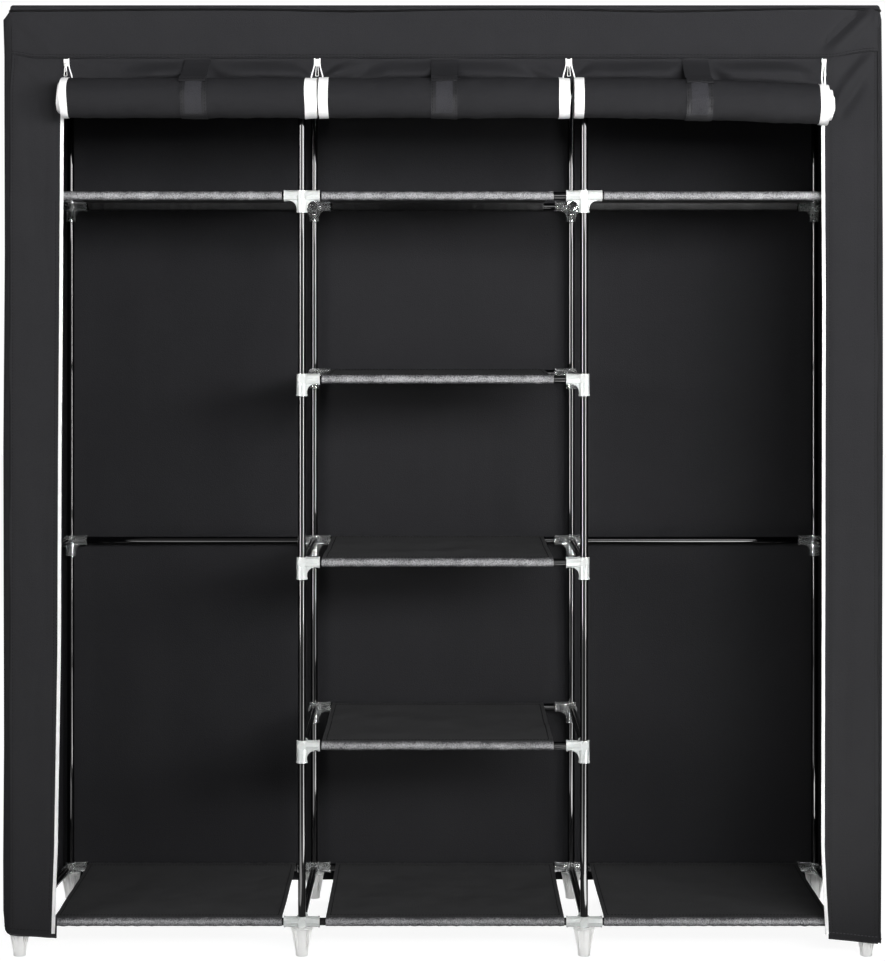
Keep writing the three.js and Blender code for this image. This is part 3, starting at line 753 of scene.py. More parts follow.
# The insets say how far the top and the front corner seams stand in from the widest place of each side.
cover = {
    "cloth": 0.8 * mm, "roundedEdge": 5 * mm, "topLip": 4 * mm, "lipWave": 1.7 * mm,
    "lipWaves": (640 * mm, 260 * mm), "shoulder": 16 * mm,
    "topInset": {"left": 12 * mm, "right": 5 * mm},
    "seamBeside": {"left": 14 * mm, "right": 8 * mm}, "seamBelow": {"left": 10.5 * mm, "right": 8 * mm},
    "sag": 5 * mm, "ripple": 1.2 * mm, "ripples": (420 * mm, 60 * mm), "hemBand": 7 * mm,
    "hemStitch": 2 * mm, "seamAndShadeBead": 1.9 * mm, "cornerBead": 1 * mm,
}
halfWidth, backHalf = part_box("cover_top")[1].x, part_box("cover_back")[1].x
frontPlane, valancePlane = middleOf("cover_front_strip_left")[1], middleOf("cover_valance")[1]
backPlane, topPlane = middleOf("cover_back")[1], middleOf("cover_top")[2]
hemHeight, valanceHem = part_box("cover_front_strip_left")[0].z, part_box("cover_valance")[0].z


def coverPanel(node, x, y, z, cloth):
    return sheetPiece(f"{node}_cloth", x, y, z, cloth, coverFinish, "cover_fabric", node=node)


def halfAt(y):
    # Half the cover's width: even in front of the uprights, then narrower to the back
    frontAt = columnAt("front", 1).y
    return halfWidth - (halfWidth - backHalf) * np.clip((y - frontAt) / (backPlane - frontAt), 0, 1)


def topSeamAt(along):
    # Height of the seam under the top's edge, which wavers a little
    wander = ripples(5, *cover["lipWaves"], 0.1)
    return topPlane - cover["roundedEdge"] - cover["topLip"] + cover["lipWave"] * wander(along, 0 * along)


def coverTop():
    radius, lip = cover["roundedEdge"], cover["topLip"]
    frontEdge, rearEdge = valancePlane, backPlane
    middle, reach = (frontEdge + rearEdge) / 2, (rearEdge - frontEdge) / 2

    def wrapped(distance, half):
        # Distance over a rounded edge to a place along and a drop
        flat = half - radius
        past = np.clip((np.abs(distance) - flat) / radius, 0, math.pi / 2)
        beyond = np.maximum(np.abs(distance) - flat - radius * math.pi / 2, 0)
        place = np.where(np.abs(distance) < flat, np.abs(distance), flat + radius * np.sin(past))
        return np.sign(distance) * place, radius * (1 - np.cos(past)) + beyond
    extra = radius * (math.pi / 2 - 1) + lip

    def shares(count):
        # finer near the rounded edges
        even = np.linspace(-1, 1, count)
        edge = 1 - 30 * mm / reach
        fine = np.linspace(edge, 1, 16)[1:]
        return np.unique(np.round(np.concatenate([even[np.abs(even) < edge], fine, -fine, [edge, -edge]]), 6))
    downs = shares(60) * (reach + extra)
    acrossShares = np.unique(np.concatenate([np.linspace(-0.975, 0.975, 170), np.linspace(0.975, 1, 14),
                                             np.linspace(-1, -0.975, 14)]))
    y, dropY = wrapped(downs, reach)
    y = (y + middle)[:, None]
    leftEdge, rightEdge = cover["topInset"]["left"] - halfAt(y), halfAt(y) - cover["topInset"]["right"]
    half = (rightEdge - leftEdge) / 2
    x, dropX = wrapped(acrossShares[None, :] * (half + extra), half)
    x, y = np.broadcast_arrays(x + (leftEdge + rightEdge) / 2, y)
    rails = [columnAt("front", k).x for k in columns]
    bay = np.clip(np.searchsorted(rails, x[0]) - 1, 0, 2)
    share = np.clip((x[0] - np.take(rails, bay)) / (np.take(rails, bay + 1) - np.take(rails, bay)), 0, 1)
    deep = np.clip((y - columnAt("front", 2).y) / (columnAt("rear", 2).y - columnAt("front", 2).y), 0, 1)
    slack = np.sin(math.pi * share)[None, :] ** 0.8 * np.sin(math.pi * deep) ** 0.8
    wavy = ripples(7, *cover["ripples"], 1.5)
    full = radius + lip
    drop = (dropY[:, None] ** 6 + dropX ** 6) ** (1 / 6) / full
    along = np.where(dropX > dropY[:, None], y, x)
    sag = slack * (cover["sag"] + cover["ripple"] * wavy(x, y))
    z = topPlane - drop * (topPlane - topSeamAt(along)) - sag
    piece = coverPanel("cover_top", x, y, z, cover["cloth"])
    # the seam under the top's edge: a black bead 3.8 mm wide, partly the real seam and partly painted shade
    # under the lip
    out = cover["seamAndShadeBead"] / 2
    edges = [line(x, y, z, row) + (0, shift, 0) for row, shift in ((0, -out), (-1, out))]
    edges += [line(x, y, z, np.s_[:, column]) + (shift, 0, 0) for column, shift in ((0, -out), (-1, out))]
    bead("cover_top_seam_and_shade", edges, cover["seamAndShadeBead"], blackThread, "cover_fabric")


coverTop()

# Folds are lines between two places, each as (x, z) in mm, with a width and a depth in mm.
valance = {
    "waveOut": 2.2 * mm, "waves": (330 * mm, 90 * mm), "smallWaves": (60 * mm, 22 * mm), "seed": 21,
    "leftLift": 6 * mm, "leftReach": 45 * mm, "rightLift": 12 * mm,
    "rightReach": 90 * mm, "endFlat": 15 * mm, "rows": (0, 0.88),
    "folds": [((770, 1684), (686, 1602), 11, -8), ((748, 1690), (664, 1610), 10, 5.5),
              ((-750, 1668), (-690, 1606), 14, -4)],
}


def foldedBy(folds, x, z):
    return sum(depth * mm * foldAlong(x / mm, z / mm, start, end, width)
               for start, end, width, depth in folds)


def hemRise(x):
    # The valance's hem is drawn up towards both corners
    end = halfWidth - valance["endFlat"]
    left = smooth(-x, end - valance["leftReach"], end)
    right = smooth(x, end - valance["rightReach"], end)
    return valance["leftLift"] * left + valance["rightLift"] * right


def coverValance():
    leftEdge, rightEdge = cover["seamBeside"]["left"] - halfWidth, halfWidth - cover["seamBeside"]["right"]
    start, fine = valance["rows"]
    shares = np.unique(np.concatenate([np.linspace(start, fine, 24), np.linspace(fine, 1, 22)]))
    across, down = np.meshgrid(np.linspace(0, 1, 421), shares)
    x = leftEdge + (rightEdge - leftEdge) * across
    hem, top = valanceHem + hemRise(x), topSeamAt(x)
    z = top + (hem - top) * down
    wavy = ripples(valance["seed"], *valance["waves"], 0.35)
    small = ripples(valance["seed"] + 1, *valance["smallWaves"], 0.5)
    fromEnd = np.minimum(x - leftEdge, rightEdge - x)
    free = smooth(down, 0.05, 1) * smooth(fromEnd, 0, 60 * mm)
    rise = z - hem
    band = smooth(rise, cover["hemBand"] + 1.4 * mm, cover["hemBand"])
    rowRises = (cover["hemBand"] - 1 * mm, cover["hemStitch"])
    pucker = ripples(valance["seed"] + 2, 14 * mm, 8 * mm, 0.2)
    sewnIn = stitch["furrow"] * sum(furrow(rise - at) for at in rowRises)
    y = valancePlane - valance["waveOut"] * free * (0.9 + wavy(x, z)) * 0.6 - 0.25 * mm * small(x, z) * free
    y = y + foldedBy(valance["folds"], x, z) * smooth(fromEnd, 0, 14 * mm) + sewnIn * (1 + 0.4 * pucker(x, z))
    y = y + (frontPlane - 1.2 * mm - valancePlane) * (1 - smooth(fromEnd, 0, 12 * mm))
    piece = coverPanel("cover_valance", x, y, z, cover["cloth"] * (1 + 1.3 * band))
    rowsAt = [(np.argmin(np.abs(rise - at), axis=0), np.arange(x.shape[1])) for at in rowRises]
    seams = [seam(x, y, z, pick, 1.1 * mm, (0, -1, 0)) for pick in rowsAt]
    stitches("cover_valance_stitches", seams, blackThread, "cover_fabric")


coverValance()

# Where the middle of each white tape hangs, as height and distance from the wardrobe's middle, in mm.
# The strips hang freely, so the tapes drift from the straight.
strip = {
    "leftTape": [(30, -690.6), (121, -688.2), (191, -685.4), (546, -679.6), (882, -678.6), (1165, -676.4),
                 (1466, -674.8), (1535, -673.4), (1560, -671), (1580, -667.7), (1600, -664)],
    "rightTape": [(30, 681), (45, 680.5), (112, 676.6), (191, 672.8), (600, 673.6), (1165, 674.6),
                  (1466, 672.8), (1595, 677.5)],
    "leftHem": (7.4 * mm, 12.8 * mm, 18.2 * mm), "rightHem": (5.6 * mm, -2.4 * mm, -5.4 * mm),
    "leftFolds": [((-755, 1600), (-690, 1540), 12, -3)],
    "rightFolds": [((756, 1600), (684, 1502), 11, -7.5), ((744, 1552), (702, 1490), 9, 5),
                   ((766, 1624), (704, 1560), 9, 4)],
    "ripple": 1.7 * mm, "long": (150 * mm, 45 * mm), "lean": (420 * mm, 180 * mm),
    "tapeWidth": 5.2 * mm, "tapeCloth": 0.7 * mm, "coil": 0.85 * mm, "hemBand": 14 * mm,
    "hemSewn": 4 * mm, "hemRoll": 1.6 * mm, "leftOverlap": 8.5 * mm, "rightOverlap": 0,
    "leftHemThread": blackThread, "rightHemThread": greyThread, "across": 34, "down": 300, "width": 40 * mm,
}


def tapeAt(side, z):
    # A smooth line through the tape's noted places
    places = np.array(strip[f"{side}Tape"]) * mm
    wide = np.linspace(-16 * mm, 16 * mm, 7)
    return np.mean([np.interp(z + shift, places[:, 0], places[:, 1]) for shift in wide], axis=0)


def seamEdge(side, z):
    # How far the front corner seam is from the wardrobe's middle: drawn in beside the valance
    beside, below = cover["seamBeside"][side], cover["seamBelow"][side]
    return halfWidth - below - (beside - below) * smooth(z, valanceHem - 60 * mm, valanceHem + 10 * mm)


def hemCloth(rise):
    # The cloth is doubled where the hem is turned up
    return cover["cloth"] * (1 + 0.9 * smooth(rise, strip["hemBand"] + 6 * mm, strip["hemBand"]))


def hemRow(rise):
    # The row of a sheet's grid along which the hem is sewn, from one column's heights over the hem
    return int(np.argmin(np.abs(rise - strip["hemBand"] + strip["hemSewn"])))


def coverStrip(side, seed):
    way = -1 if side == "left" else 1
    node = f"cover_front_strip_{side}"
    across, down = spread(strip["across"], strip["down"])
    inside, outside, _ = strip[f"{side}Hem"]
    hem = hemHeight + inside + (outside - inside) * across
    top = topPlane - 20 * mm
    z = top + (hem - top) * down
    overlap = strip[f"{side}Overlap"] * smooth(hemHeight + 64 * mm - z, 0, 30 * mm)
    innerEdge = tapeAt(side, z) + way * (strip["tapeWidth"] / 2 - 0.6 * mm - overlap)
    x = innerEdge + (way * seamEdge(side, z) - innerEdge) * across
    long = ripples(seed, *strip["long"], 0.12)
    lean = ripples(seed + 1, *strip["lean"], 1.2)
    free = smooth(valanceHem - z, 0, 120 * mm)
    loose = 0.35 + 0.65 * smooth(across, 0, 0.25)
    wave = strip["ripple"] * loose * free * (0.55 * long(x, z) + 0.75 * lean(x, z) + 0.5)
    pressed = foldedBy(strip[f"{side}Folds"], x, z) * smooth(across, 0.05, 0.3) * smooth(-across, -1, -0.85)
    pressed = pressed * smooth(valanceHem + 30 * mm - z, 0, 20 * mm)
    y = frontPlane - np.maximum(wave, -0.4 * mm) - 0.3 * mm * free + pressed
    # both long edges are sewn, three and two columns of the grid in
    fromInside, fromOutside = across - 3 / strip["across"], 1 - across - 2 / strip["across"]
    y = y + stitch["furrow"] * (furrow(fromInside * strip["width"]) + furrow(fromOutside * strip["width"]))
    piece = coverPanel(node, x, y, z, hemCloth(z - hem))
    # white tape along the inner edge, with the coil's bead on its free side
    taper, low = spread(4, strip["down"])
    tapeLow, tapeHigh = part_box(f"zipper_tape_{side}")
    zTape = tapeHigh.z + (tapeLow.z + inside - tapeHigh.z) * low
    # behind the roll it turns edge on, so that less of it shows above
    shown = strip["tapeWidth"] * (1 - 0.6 * smooth(zTape, valanceHem - 52 * mm, valanceHem - 38 * mm))
    xTape = tapeAt(side, zTape) + way * shown * (taper - 0.5)
    yEdge = np.interp(zTape, z[::-1, 0], y[::-1, 0])
    yTape = yEdge - 1.3 * mm + 0 * xTape
    tape = sheetPiece(f"zip_tape_{side}_woven", xTape, yTape, zTape, strip["tapeCloth"], tapeFinish,
                      "zip_tape", node=f"zipper_tape_{side}")
    coilPath = line(xTape, yTape, zTape, np.s_[:, 0]) - (way * 0.2 * mm, 0.3 * mm, 0)
    coil = bead(f"zip_coil_{side}", [coilPath], strip["coil"], tapeFinish, "zip_tape")
    seams = [seam(x, y, z, pick, 0.5 * mm, (0, -1, 0)) for pick in (np.s_[60:-2, 3], np.s_[10:-2, -3])]
    hemSeam = seam(x, y, z, hemRow(z[:, 0] - hem[0, 0]), 1.1 * mm, (0, -1, 0))
    sewn = stitches(f"{node}_stitches", seams, blackThread, "cover_fabric")
    hemSewn = stitches(f"{node}_hem_stitches", [hemSeam], strip[f"{side}HemThread"], "cover_fabric")
    # the rolled hem takes the strap cloth, painted darker as shade
    hemRoll = bead(f"{node}_rolled_hem", [line(x, y, z, -1)], strip["hemRoll"], shadedStrapFinish, "cover_fabric")


# The sides swell by a few mm, as height and distance in mm.
sidePanel = {
    "bow": 5 * mm, "ripple": 2.2 * mm, "ripples": (520 * mm, 130 * mm),
    "slack": 2.5 * mm, "calmFront": (30 * mm, 150 * mm),
    "leftSwell": [(45, 0), (80, 4), (170, 4.4), (370, 2.8), (900, 4), (1250, 1.2), (1600, 2.2), (1660, 4)],
    "rightSwell": [(45, 0.4), (250, 1.9), (550, 2.8), (900, 4.2), (1250, 4.1), (1520, 2.7), (1660, 1.4)],
}


def coverSide(side, seed):
    way = -1 if side == "left" else 1
    node = f"cover_{side}_side"
    _, outside, corner = strip[f"{side}Hem"]
    share, down = spread(70, 240)
    share = share ** 1.6
    frontAt, rearAt = frontPlane - 0.6 * mm, backPlane - 0.6 * mm
    y = frontAt + (rearAt - frontAt) * share
    top = topSeamAt(y)
    fromFront = y - frontAt
    hem = hemHeight + corner * (1 - smooth(fromFront, 0, 160 * mm))
    hem = hem + (outside - corner) * (1 - smooth(fromFront, 0, 8 * mm))
    z = top + (hem - top) * down
    full = smooth(top - z, 0, cover["shoulder"])
    half = halfAt(y) - cover["topInset"][side] * (1 - full)
    seamIn = halfAt(y) - seamEdge(side, z)
    bow = 1 - np.exp(-fromFront / sidePanel["bow"])
    edge = np.minimum(half, halfAt(y) - np.maximum(seamIn, 0) * (1 - bow))
    nearBack = smooth(rearAt - y, 0, 10 * mm)
    edge = edge - 6 * mm * (1 - nearBack)
    lean = ripples(seed, *sidePanel["ripples"], 0.45)
    calm = smooth(fromFront, *sidePanel["calmFront"]) * smooth(rearAt - y, 5 * mm, 50 * mm)
    sunk = (sidePanel["ripple"] * (lean(y, z) + 1) + sidePanel["slack"]) * calm
    sunk = sunk * smooth(top - z, 20 * mm, 160 * mm)
    heights, swell = np.array(sidePanel[f"{side}Swell"]).T * mm
    x = way * (edge - sunk + np.interp(z, heights, swell) * bow * nearBack)
    piece = coverPanel(node, x, y, z, hemCloth(z - hem))
    outward = (way, 0, 0)
    seams = [seam(x, y, z, np.s_[4:-1, 2], 0.6 * mm, outward),
             seam(x, y, z, hemRow(z[:, 40] - hem[0, 40]), mm, outward)]
    stitches(f"{node}_stitches", seams, blackThread, "cover_fabric")
    corners = [line(x, y, z, np.s_[4:, 0]) - (0, 0.2 * mm, 0),
               line(x, y, z, np.s_[4:, -1]) + (0, 0.4 * mm, 0)]
    bead(f"{node}_corner_seams", corners, cover["cornerBead"], blackThread, "cover_fabric")


backPanel = {"inset": 6.5 * mm, "swell": 2.2 * mm, "long": (380 * mm, 110 * mm), "lean": (700 * mm, 240 * mm)}


def coverBack():
    across, down = spread(170, 170)
    edge = backHalf - backPanel["inset"]
    x = (2 * across - 1) * edge
    top = topSeamAt(x)
    z = top + (hemHeight - top) * down
    long = ripples(61, *backPanel["long"], 0.22)
    lean = ripples(62, *backPanel["lean"], 1.3)
    free = smooth(edge - np.abs(x), 0, 60 * mm) * smooth(down, 0, 0.15)
    y = backPlane + free * backPanel["swell"] * np.clip(0.8 + 0.7 * long(x, z) + 0.5 * lean(x, z), 0, 2)
    piece = coverPanel("cover_back", x, y, z, hemCloth(z - hemHeight))
    seams = [seam(x, y, z, hemRow(z[:, 0] - hemHeight), 1.1 * mm, (0, 1, 0))]
    stitches("cover_back_stitches", seams, blackThread, "cover_fabric")


for side, seed in (("left", 31), ("right", 41)):
    coverStrip(side, seed)
    coverSide(side, seed + 5)
coverBack()
print("cover made")


# Doors: each hangs behind the valance, runs out to its roll's back and is wound outwards

door = {
    "cloth": 0.8 * mm, "rollRadius": 36.2 * mm, "windingGap": 3 * mm, "turns": 10, "rollDrop": 74 * mm,
    "bend": 36 * mm, "edgeTape": 2.2 * mm, "endSlim": 0.01, "endReach": 60 * mm,
    "turnSteps": 26, "across": 74, "lump": 0.5 * mm, "lumps": (210 * mm, 60 * mm), "crease": 0.45 * mm,
    "creases": (60 * mm, 22 * mm), "tapeFolds": (90 * mm, 30 * mm), "hangFold": 0.8 * mm,
    "hangFolds": (95 * mm, 36 * mm), "growFrom": 14 * mm,
}
rollAxisZ = valanceHem - door["rollDrop"]
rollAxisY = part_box("door_roll_center")[1].y - 0.5 * mm - door["rollRadius"]
rollBack = rollAxisY + door["rollRadius"]
# The loose cloth over each roll hangs forward in pouches: shares of the door's width and how far, in mm.
# Each end has a shift to the right and the width of its white tape.
rolls = {
    "left": {"recessLeft": 5.5 * mm, "spillRight": 0, "droop": 0, "seed": 71,
             "leftPart": (9 * mm, 16 * mm), "leftEnd": (0, 13.5 * mm), "rightEnd": (4 * mm, 21 * mm),
             "pouchShares": (0, 0.03, 0.1, 0.2, 0.34, 0.45, 0.53, 0.61, 0.7, 0.85, 0.97, 1),
             "pouches": (2, 3, 0, 5, 22, 24, 8, 0, 15, 24, 18, 3)},
    "center": {"recessLeft": 0, "spillRight": 0, "droop": 0, "seed": 72,
               "leftEnd": (4 * mm, 17 * mm), "rightEnd": (0, 19 * mm),
               "pouchShares": (0, 0.04, 0.08, 0.15, 0.25, 0.43, 0.51, 0.59, 0.78, 0.88, 0.95, 1),
               "pouches": (3, 18, 12, 0, 20, 24, 6, 21, 18, 0, 12, 3)},
    "right": {"recessLeft": 0, "spillRight": 11.5 * mm, "droop": 12 * mm, "seed": 73,
              "rightPart": (0, 2 * mm), "leftEnd": (5 * mm, 17 * mm), "rightEnd": (0, 16 * mm),
              "pouchShares": (0, 0.04, 0.2, 0.38, 0.44, 0.51, 0.59, 0.64, 0.78, 0.93, 1),
              "pouches": (3, 16, 23, 20, 2, 7, 2, 20, 24, 20, 4)},
}


def hangingDepth(z):
    share = smooth(rollAxisZ + door["bend"] - z, 0, door["bend"])
    return frontPlane + (rollBack - frontPlane) * share


def besideRoll(turn, offset):
    # A place beside the wound cloth, at a turn in radians from the roll's back, down and round its front
    radius = door["rollRadius"] - door["windingGap"] * turn / math.tau + offset
    return rollAxisY + radius * np.cos(turn), rollAxisZ - radius * np.sin(turn)


def rollShape(side, x, turn, offset=0):
    # The same, with the roll's lumps, its slimmer ends and its droop
    low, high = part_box(f"door_curtain_{side}")
    facts = rolls[side]
    wide = (x - low.x) / (high.x - low.x)
    lumps = ripples(facts["seed"], *door["lumps"], 0.7)
    folds = ripples(facts["seed"] + 10, *door["creases"], 1.1)
    outerTurns = 1 - smooth(turn, 3 * math.pi, 8 * math.pi)
    soft = (door["lump"] * lumps(x, turn * 40 * mm) + door["crease"] * folds(x, turn * 40 * mm)) * outerTurns
    nearBack = smooth(turn, 0, 0.9)
    y, z = besideRoll(turn, offset + soft * nearBack)
    slim = smooth(-np.minimum(x - low.x, high.x - x), -26 * mm, -4 * mm) * door["endSlim"] * nearBack
    floor = rollAxisZ - door["rollRadius"]
    y = rollBack + (y - rollBack) * (1 - slim * 0.6)
    z = floor + (z - floor) * (1 - slim) - facts["droop"] * np.clip(wide, 0, 1.1) ** 2 * nearBack
    return y, z


def pouchDepth(side, x, z):
    # How far the slack cloth over the roll stands forward. Its folds run in towards the top.
    low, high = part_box(f"door_curtain_{side}")
    facts = rolls[side]
    rollTop = rollAxisZ + door["rollRadius"]
    wide = (x - low.x) / (high.x - low.x)
    lean = 1.1 * (z - rollTop) / (high.x - low.x) * np.tanh((wide - 0.5) * 8)
    shares = np.clip(wide + lean, 0, 1)
    pouch = np.mean([np.interp(shares + shift, facts["pouchShares"], facts["pouches"])
                     for shift in np.linspace(-0.018, 0.018, 7)], axis=0)
    height = z - rollTop + facts["droop"] * np.clip(wide, 0, 1) ** 2
    return pouch * mm * smooth(height, -12 * mm, 7 * mm) * smooth(valanceHem - 3 * mm - z, 0, 26 * mm)


def curtainPiece(side):
    low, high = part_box(f"door_curtain_{side}")
    top, bottom = high.z, rollAxisZ + 0.3 * mm
    across, down = spread(150, 52)
    inset = door["edgeTape"] - 1.2 * mm
    x = low.x + inset + (high.x - low.x - 2 * inset) * across
    z = top + (bottom - top) * down
    fold = ripples(rolls[side]["seed"] + 20, *door["hangFolds"], 0.65)
    edge = smooth(np.minimum(x - low.x, high.x - x), 0, 34 * mm)
    below = smooth(valanceHem - 1 * mm - z, 0, 14 * mm) * smooth(z - bottom, 0, 22 * mm)
    y = hangingDepth(z) - pouchDepth(side, x, z) - door["hangFold"] * (1 + fold(x, z)) * edge * below
    piece = sheetPiece(f"door_curtain_{side}_cloth", x, y, z, door["cloth"], coverFinish, "cover_fabric",
                       body=None, node=f"door_curtain_{side}")
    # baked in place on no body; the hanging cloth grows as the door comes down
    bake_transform(piece)
    # the white tape on each edge parts from its neighbour below the slider
    for edgeName, at, way in (("left", low.x, 1), ("right", high.x, -1)):
        taper, fall = spread(4, 30)
        zTape = top + (bottom - top) * fall
        start, end = rolls[side].get(f"{edgeName}Part", (2 * mm, 8 * mm))
        part = start + (end - start) * smooth(valanceHem - 8 * mm - zTape, 0, 32 * mm)
        xTape = at + way * (part * smooth(zTape - bottom, -5 * mm, 24 * mm) + door["edgeTape"] * taper)
        yTape = hangingDepth(zTape) - pouchDepth(side, xTape, zTape) - 1.7 * mm
        tape = sheetPiece(f"door_{side}_{edgeName}_edge_tape", xTape, yTape, zTape, strip["tapeCloth"],
                          tapeFinish, "zip_tape", body=None)
        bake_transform(tape)


def rollPiece(side):
    node = f"door_roll_{side}"
    low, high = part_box(f"door_curtain_{side}")
    facts = rolls[side]
    body = f"door_{side}"
    steps = int(door["turns"] * door["turnSteps"])
    turn = np.linspace(0, math.tau * door["turns"], steps + 1)[:, None]
    # the inner turns stand out of the ends, on the left roll in one step and on the right one in two
    inner = smooth(turn, 5 * math.pi, 6.2 * math.pi)
    if side == "right":
        inner = 0.62 * inner + 0.38 * smooth(turn, 10 * math.pi, 16 * math.pi)

    def ends(start, end, across, wander):
        # x over the roll's width, with the inner turns pushed out of its ends
        share = np.linspace(0, 1, across + 1)[None, :]
        x = start + (end - start) * share
        reach = door["endReach"]
        push = facts["spillRight"] * smooth(x - high.x + reach, 0, reach)
        drawnIn = facts["recessLeft"] * smooth(low.x + reach - x, 0, reach)
        chance = ripples(facts["seed"] + 30 + wander, *door["tapeFolds"], 0.2)
        return x + push * inner + drawnIn * (1 - inner) + 0.6 * mm * chance(turn * 20 * mm, 0 * turn)
    (leftShift, leftTape), (rightShift, rightTape) = facts["leftEnd"], facts["rightEnd"]
    leftEdge, rightEdge = low.x + leftShift, high.x + rightShift
    x = ends(leftEdge + leftTape - 6 * mm, rightEdge - rightTape + 6 * mm, door["across"], 0)
    y, z = rollShape(side, x, turn)
    # the roll: the door cloth painted darker as painted shade
    piece = sheetPiece(f"{node}_cloth", x, y, z, door["cloth"], shadedRollFinish, "cover_fabric", body=body,
                       node=node)
    tapeSpans = (("left", leftEdge, leftEdge + leftTape), ("right", rightEdge - rightTape, rightEdge))
    for end, start, stop in tapeSpans:
        x = ends(start, stop, 8, 1)
        y, z = rollShape(side, x, turn, 0.85 * mm)
        sheetPiece(f"{node}_{end}_tape", x, y, z, 0.9 * mm, tapeFinish, "zip_tape", body=body)


strap = {"cloth": 1 * mm, "wrapTurn": 11 / 16, "flapTurn": 10 / 16, "tuck": 9 * mm, "patchWidth": 29 * mm,
         "patchStart": 0.36, "gap": 1.1 * mm, "lean": {"left": -3 * mm, "center": 0, "right": 1 * mm}}


def strapPieces(side, seed):
    low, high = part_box(f"roll_strap_{side}")
    wideStrap, gap = high.x - low.x, strap["gap"]
    x = low.x + wideStrap * np.linspace(0, 1, 17)[None, :]
    turns = np.linspace(0, math.tau * strap["wrapTurn"], 46)[:, None]
    buckle = ripples(seed, 40 * mm, 16 * mm, 1.2)
    # the wrap: down behind the cloth, under the roll and up its front
    drop = np.linspace(valanceHem + strap["tuck"], rollAxisZ + 3 * mm, 16)[:, None]
    backY = hangingDepth(drop) + gap + 0 * x
    frontY, frontZ = rollShape(side, x, turns, gap + 0.4 * mm)
    soft = 0.5 * mm * buckle(x, turns * 40 * mm)
    y = np.concatenate([backY, frontY - soft * smooth(turns, 2, 3)])
    z = np.concatenate([drop + 0 * x, frontZ])
    # the wrap: the strap cloth painted darker as painted shade
    wrap = sheetPiece(f"roll_strap_{side}_cloth", x + 0 * y, y, z, strap["cloth"], shadedStrapFinish,
                      "strap_fabric", node=f"roll_strap_{side}")
    seams = []
    for inset in (1, 15):
        edge = line(x + 0 * y, y, z, np.s_[30:, inset])
        out = edge - np.array([x[0, inset], rollAxisY, rollAxisZ])
        out /= np.linalg.norm(out, axis=1, keepdims=True)
        seams.append((edge + out * 0.7 * mm, (0, -1, 0)))
    sewn = stitches(f"roll_strap_{side}_stitches", seams, blackThread, "strap_fabric")
    patchTurns = math.tau * np.linspace(strap["patchStart"], strap["wrapTurn"] - 0.02, 20)[:, None]
    margin = (wideStrap - strap["patchWidth"]) / 2
    xPatch = low.x + margin + strap["patchWidth"] * np.linspace(0, 1, 9)[None, :]
    yPatch, zPatch = rollShape(side, xPatch, patchTurns, gap + 1.9 * mm)
    patch = sheetPiece(f"roll_strap_{side}_loop_patch", xPatch + 0 * yPatch, yPatch, zPatch, 1 * mm,
                       loopFinish, "strap_fabric")
    # the flap: from behind the valance's hem over the roll's top to the wrap's end
    flapPlane = (frontPlane + valancePlane) / 2 - 0.2 * mm
    flapTurns = math.tau * np.linspace(strap["wrapTurn"] + 0.075, strap["flapTurn"], 14)[:, None]
    overY, overZ = rollShape(side, x + 0 * flapTurns, flapTurns, gap + 3 * mm)
    startZ = valanceHem - 2 * mm
    hang = np.linspace(valanceHem + strap["tuck"], startZ, 6)[:, None]
    bridge = np.linspace(0, 1, 12)[1:-1, None]
    sag = np.sin(math.pi * bridge) * 1.5 * mm
    bridgeY = flapPlane + (overY[:1] - flapPlane) * bridge ** 1.15 + 0 * x
    bridgeZ = startZ + (overZ[:1] - startZ) * bridge ** 0.92 - sag
    y = np.concatenate([flapPlane + 0 * hang + 0 * x, bridgeY, overY])
    z = np.concatenate([hang + 0 * x, bridgeZ, overZ])
    lean = strap["lean"][side] * smooth(valanceHem - z, 0, 40 * mm)
    fold = 1 + 1.2 * (np.arange(len(y))[:, None] > len(y) - 4) + 0 * x
    # the flap: the strap cloth painted darker as painted shade
    flap = sheetPiece(f"strap_flap_{side}_cloth", x + lean, y, z, strap["cloth"] * fold, shadedStrapFinish,
                      "strap_fabric", node=f"strap_flap_{side}")
    last = [(line(x + lean, y, z, -3) + (0, -1.2 * mm, 0.7 * mm), (0, -0.6, 0.8))]
    lastSewn = stitches(f"strap_flap_{side}_stitches", last, blackThread, "strap_fabric")
    for piece in (wrap, sewn, patch, flap, lastSewn):
        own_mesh(piece)


for number, side in enumerate(sides):
    curtainPiece(side)
    rollPiece(side)
    strapPieces(side, 81 + number)
print("doors made")

# Each pull is an open frame of thin cast wire, hung round the slider's bar by two eyes.
pull = {"wire": 0.55 * mm, "eye": 1.75 * mm, "topHalf": 1.2 * mm, "lowHalf": 2.6 * mm, "corner": 0.6 * mm}


def pullPiece(number):
    low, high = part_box(f"zipper_pull_{number}")
    x, y, _ = middleOf(f"zipper_pull_{number}")
    bar = high.z - (high.y - low.y) / 2
    start, end = bar - pull["eye"], low.z + pull["wire"]
    corner = pull["corner"]
    leg = [(pull["topHalf"], start), (pull["lowHalf"], end + corner), (pull["lowHalf"] - corner, end)]
    paths = [[(x + p, y, q) for p, q in [(-p, q) for p, q in leg] + leg[::-1]]]
    eye, turns = pull["eye"], np.linspace(0, math.tau, 17)
    for half in (-pull["topHalf"], pull["topHalf"]):
        paths.append([(x + half, y + eye * math.sin(t), bar - eye * math.cos(t)) for t in turns])
    bead(f"zip_pull_{number}_frame", paths, pull["wire"], zincFinish, "zip_metal", body=f"pull_{number}",
         node=f"zipper_pull_{number}")


# Each slider is a slim cast body whose two lugs carry the pull's bar.
slider = {"half": 4 * mm, "lowHalf": 3.4 * mm, "topHalf": 3.6 * mm, "corner": 1 * mm, "thickness": 3.6 * mm,
          "lug": (2 * mm, 3 * mm), "lugReach": 2 * mm, "bar": 0.9 * mm}


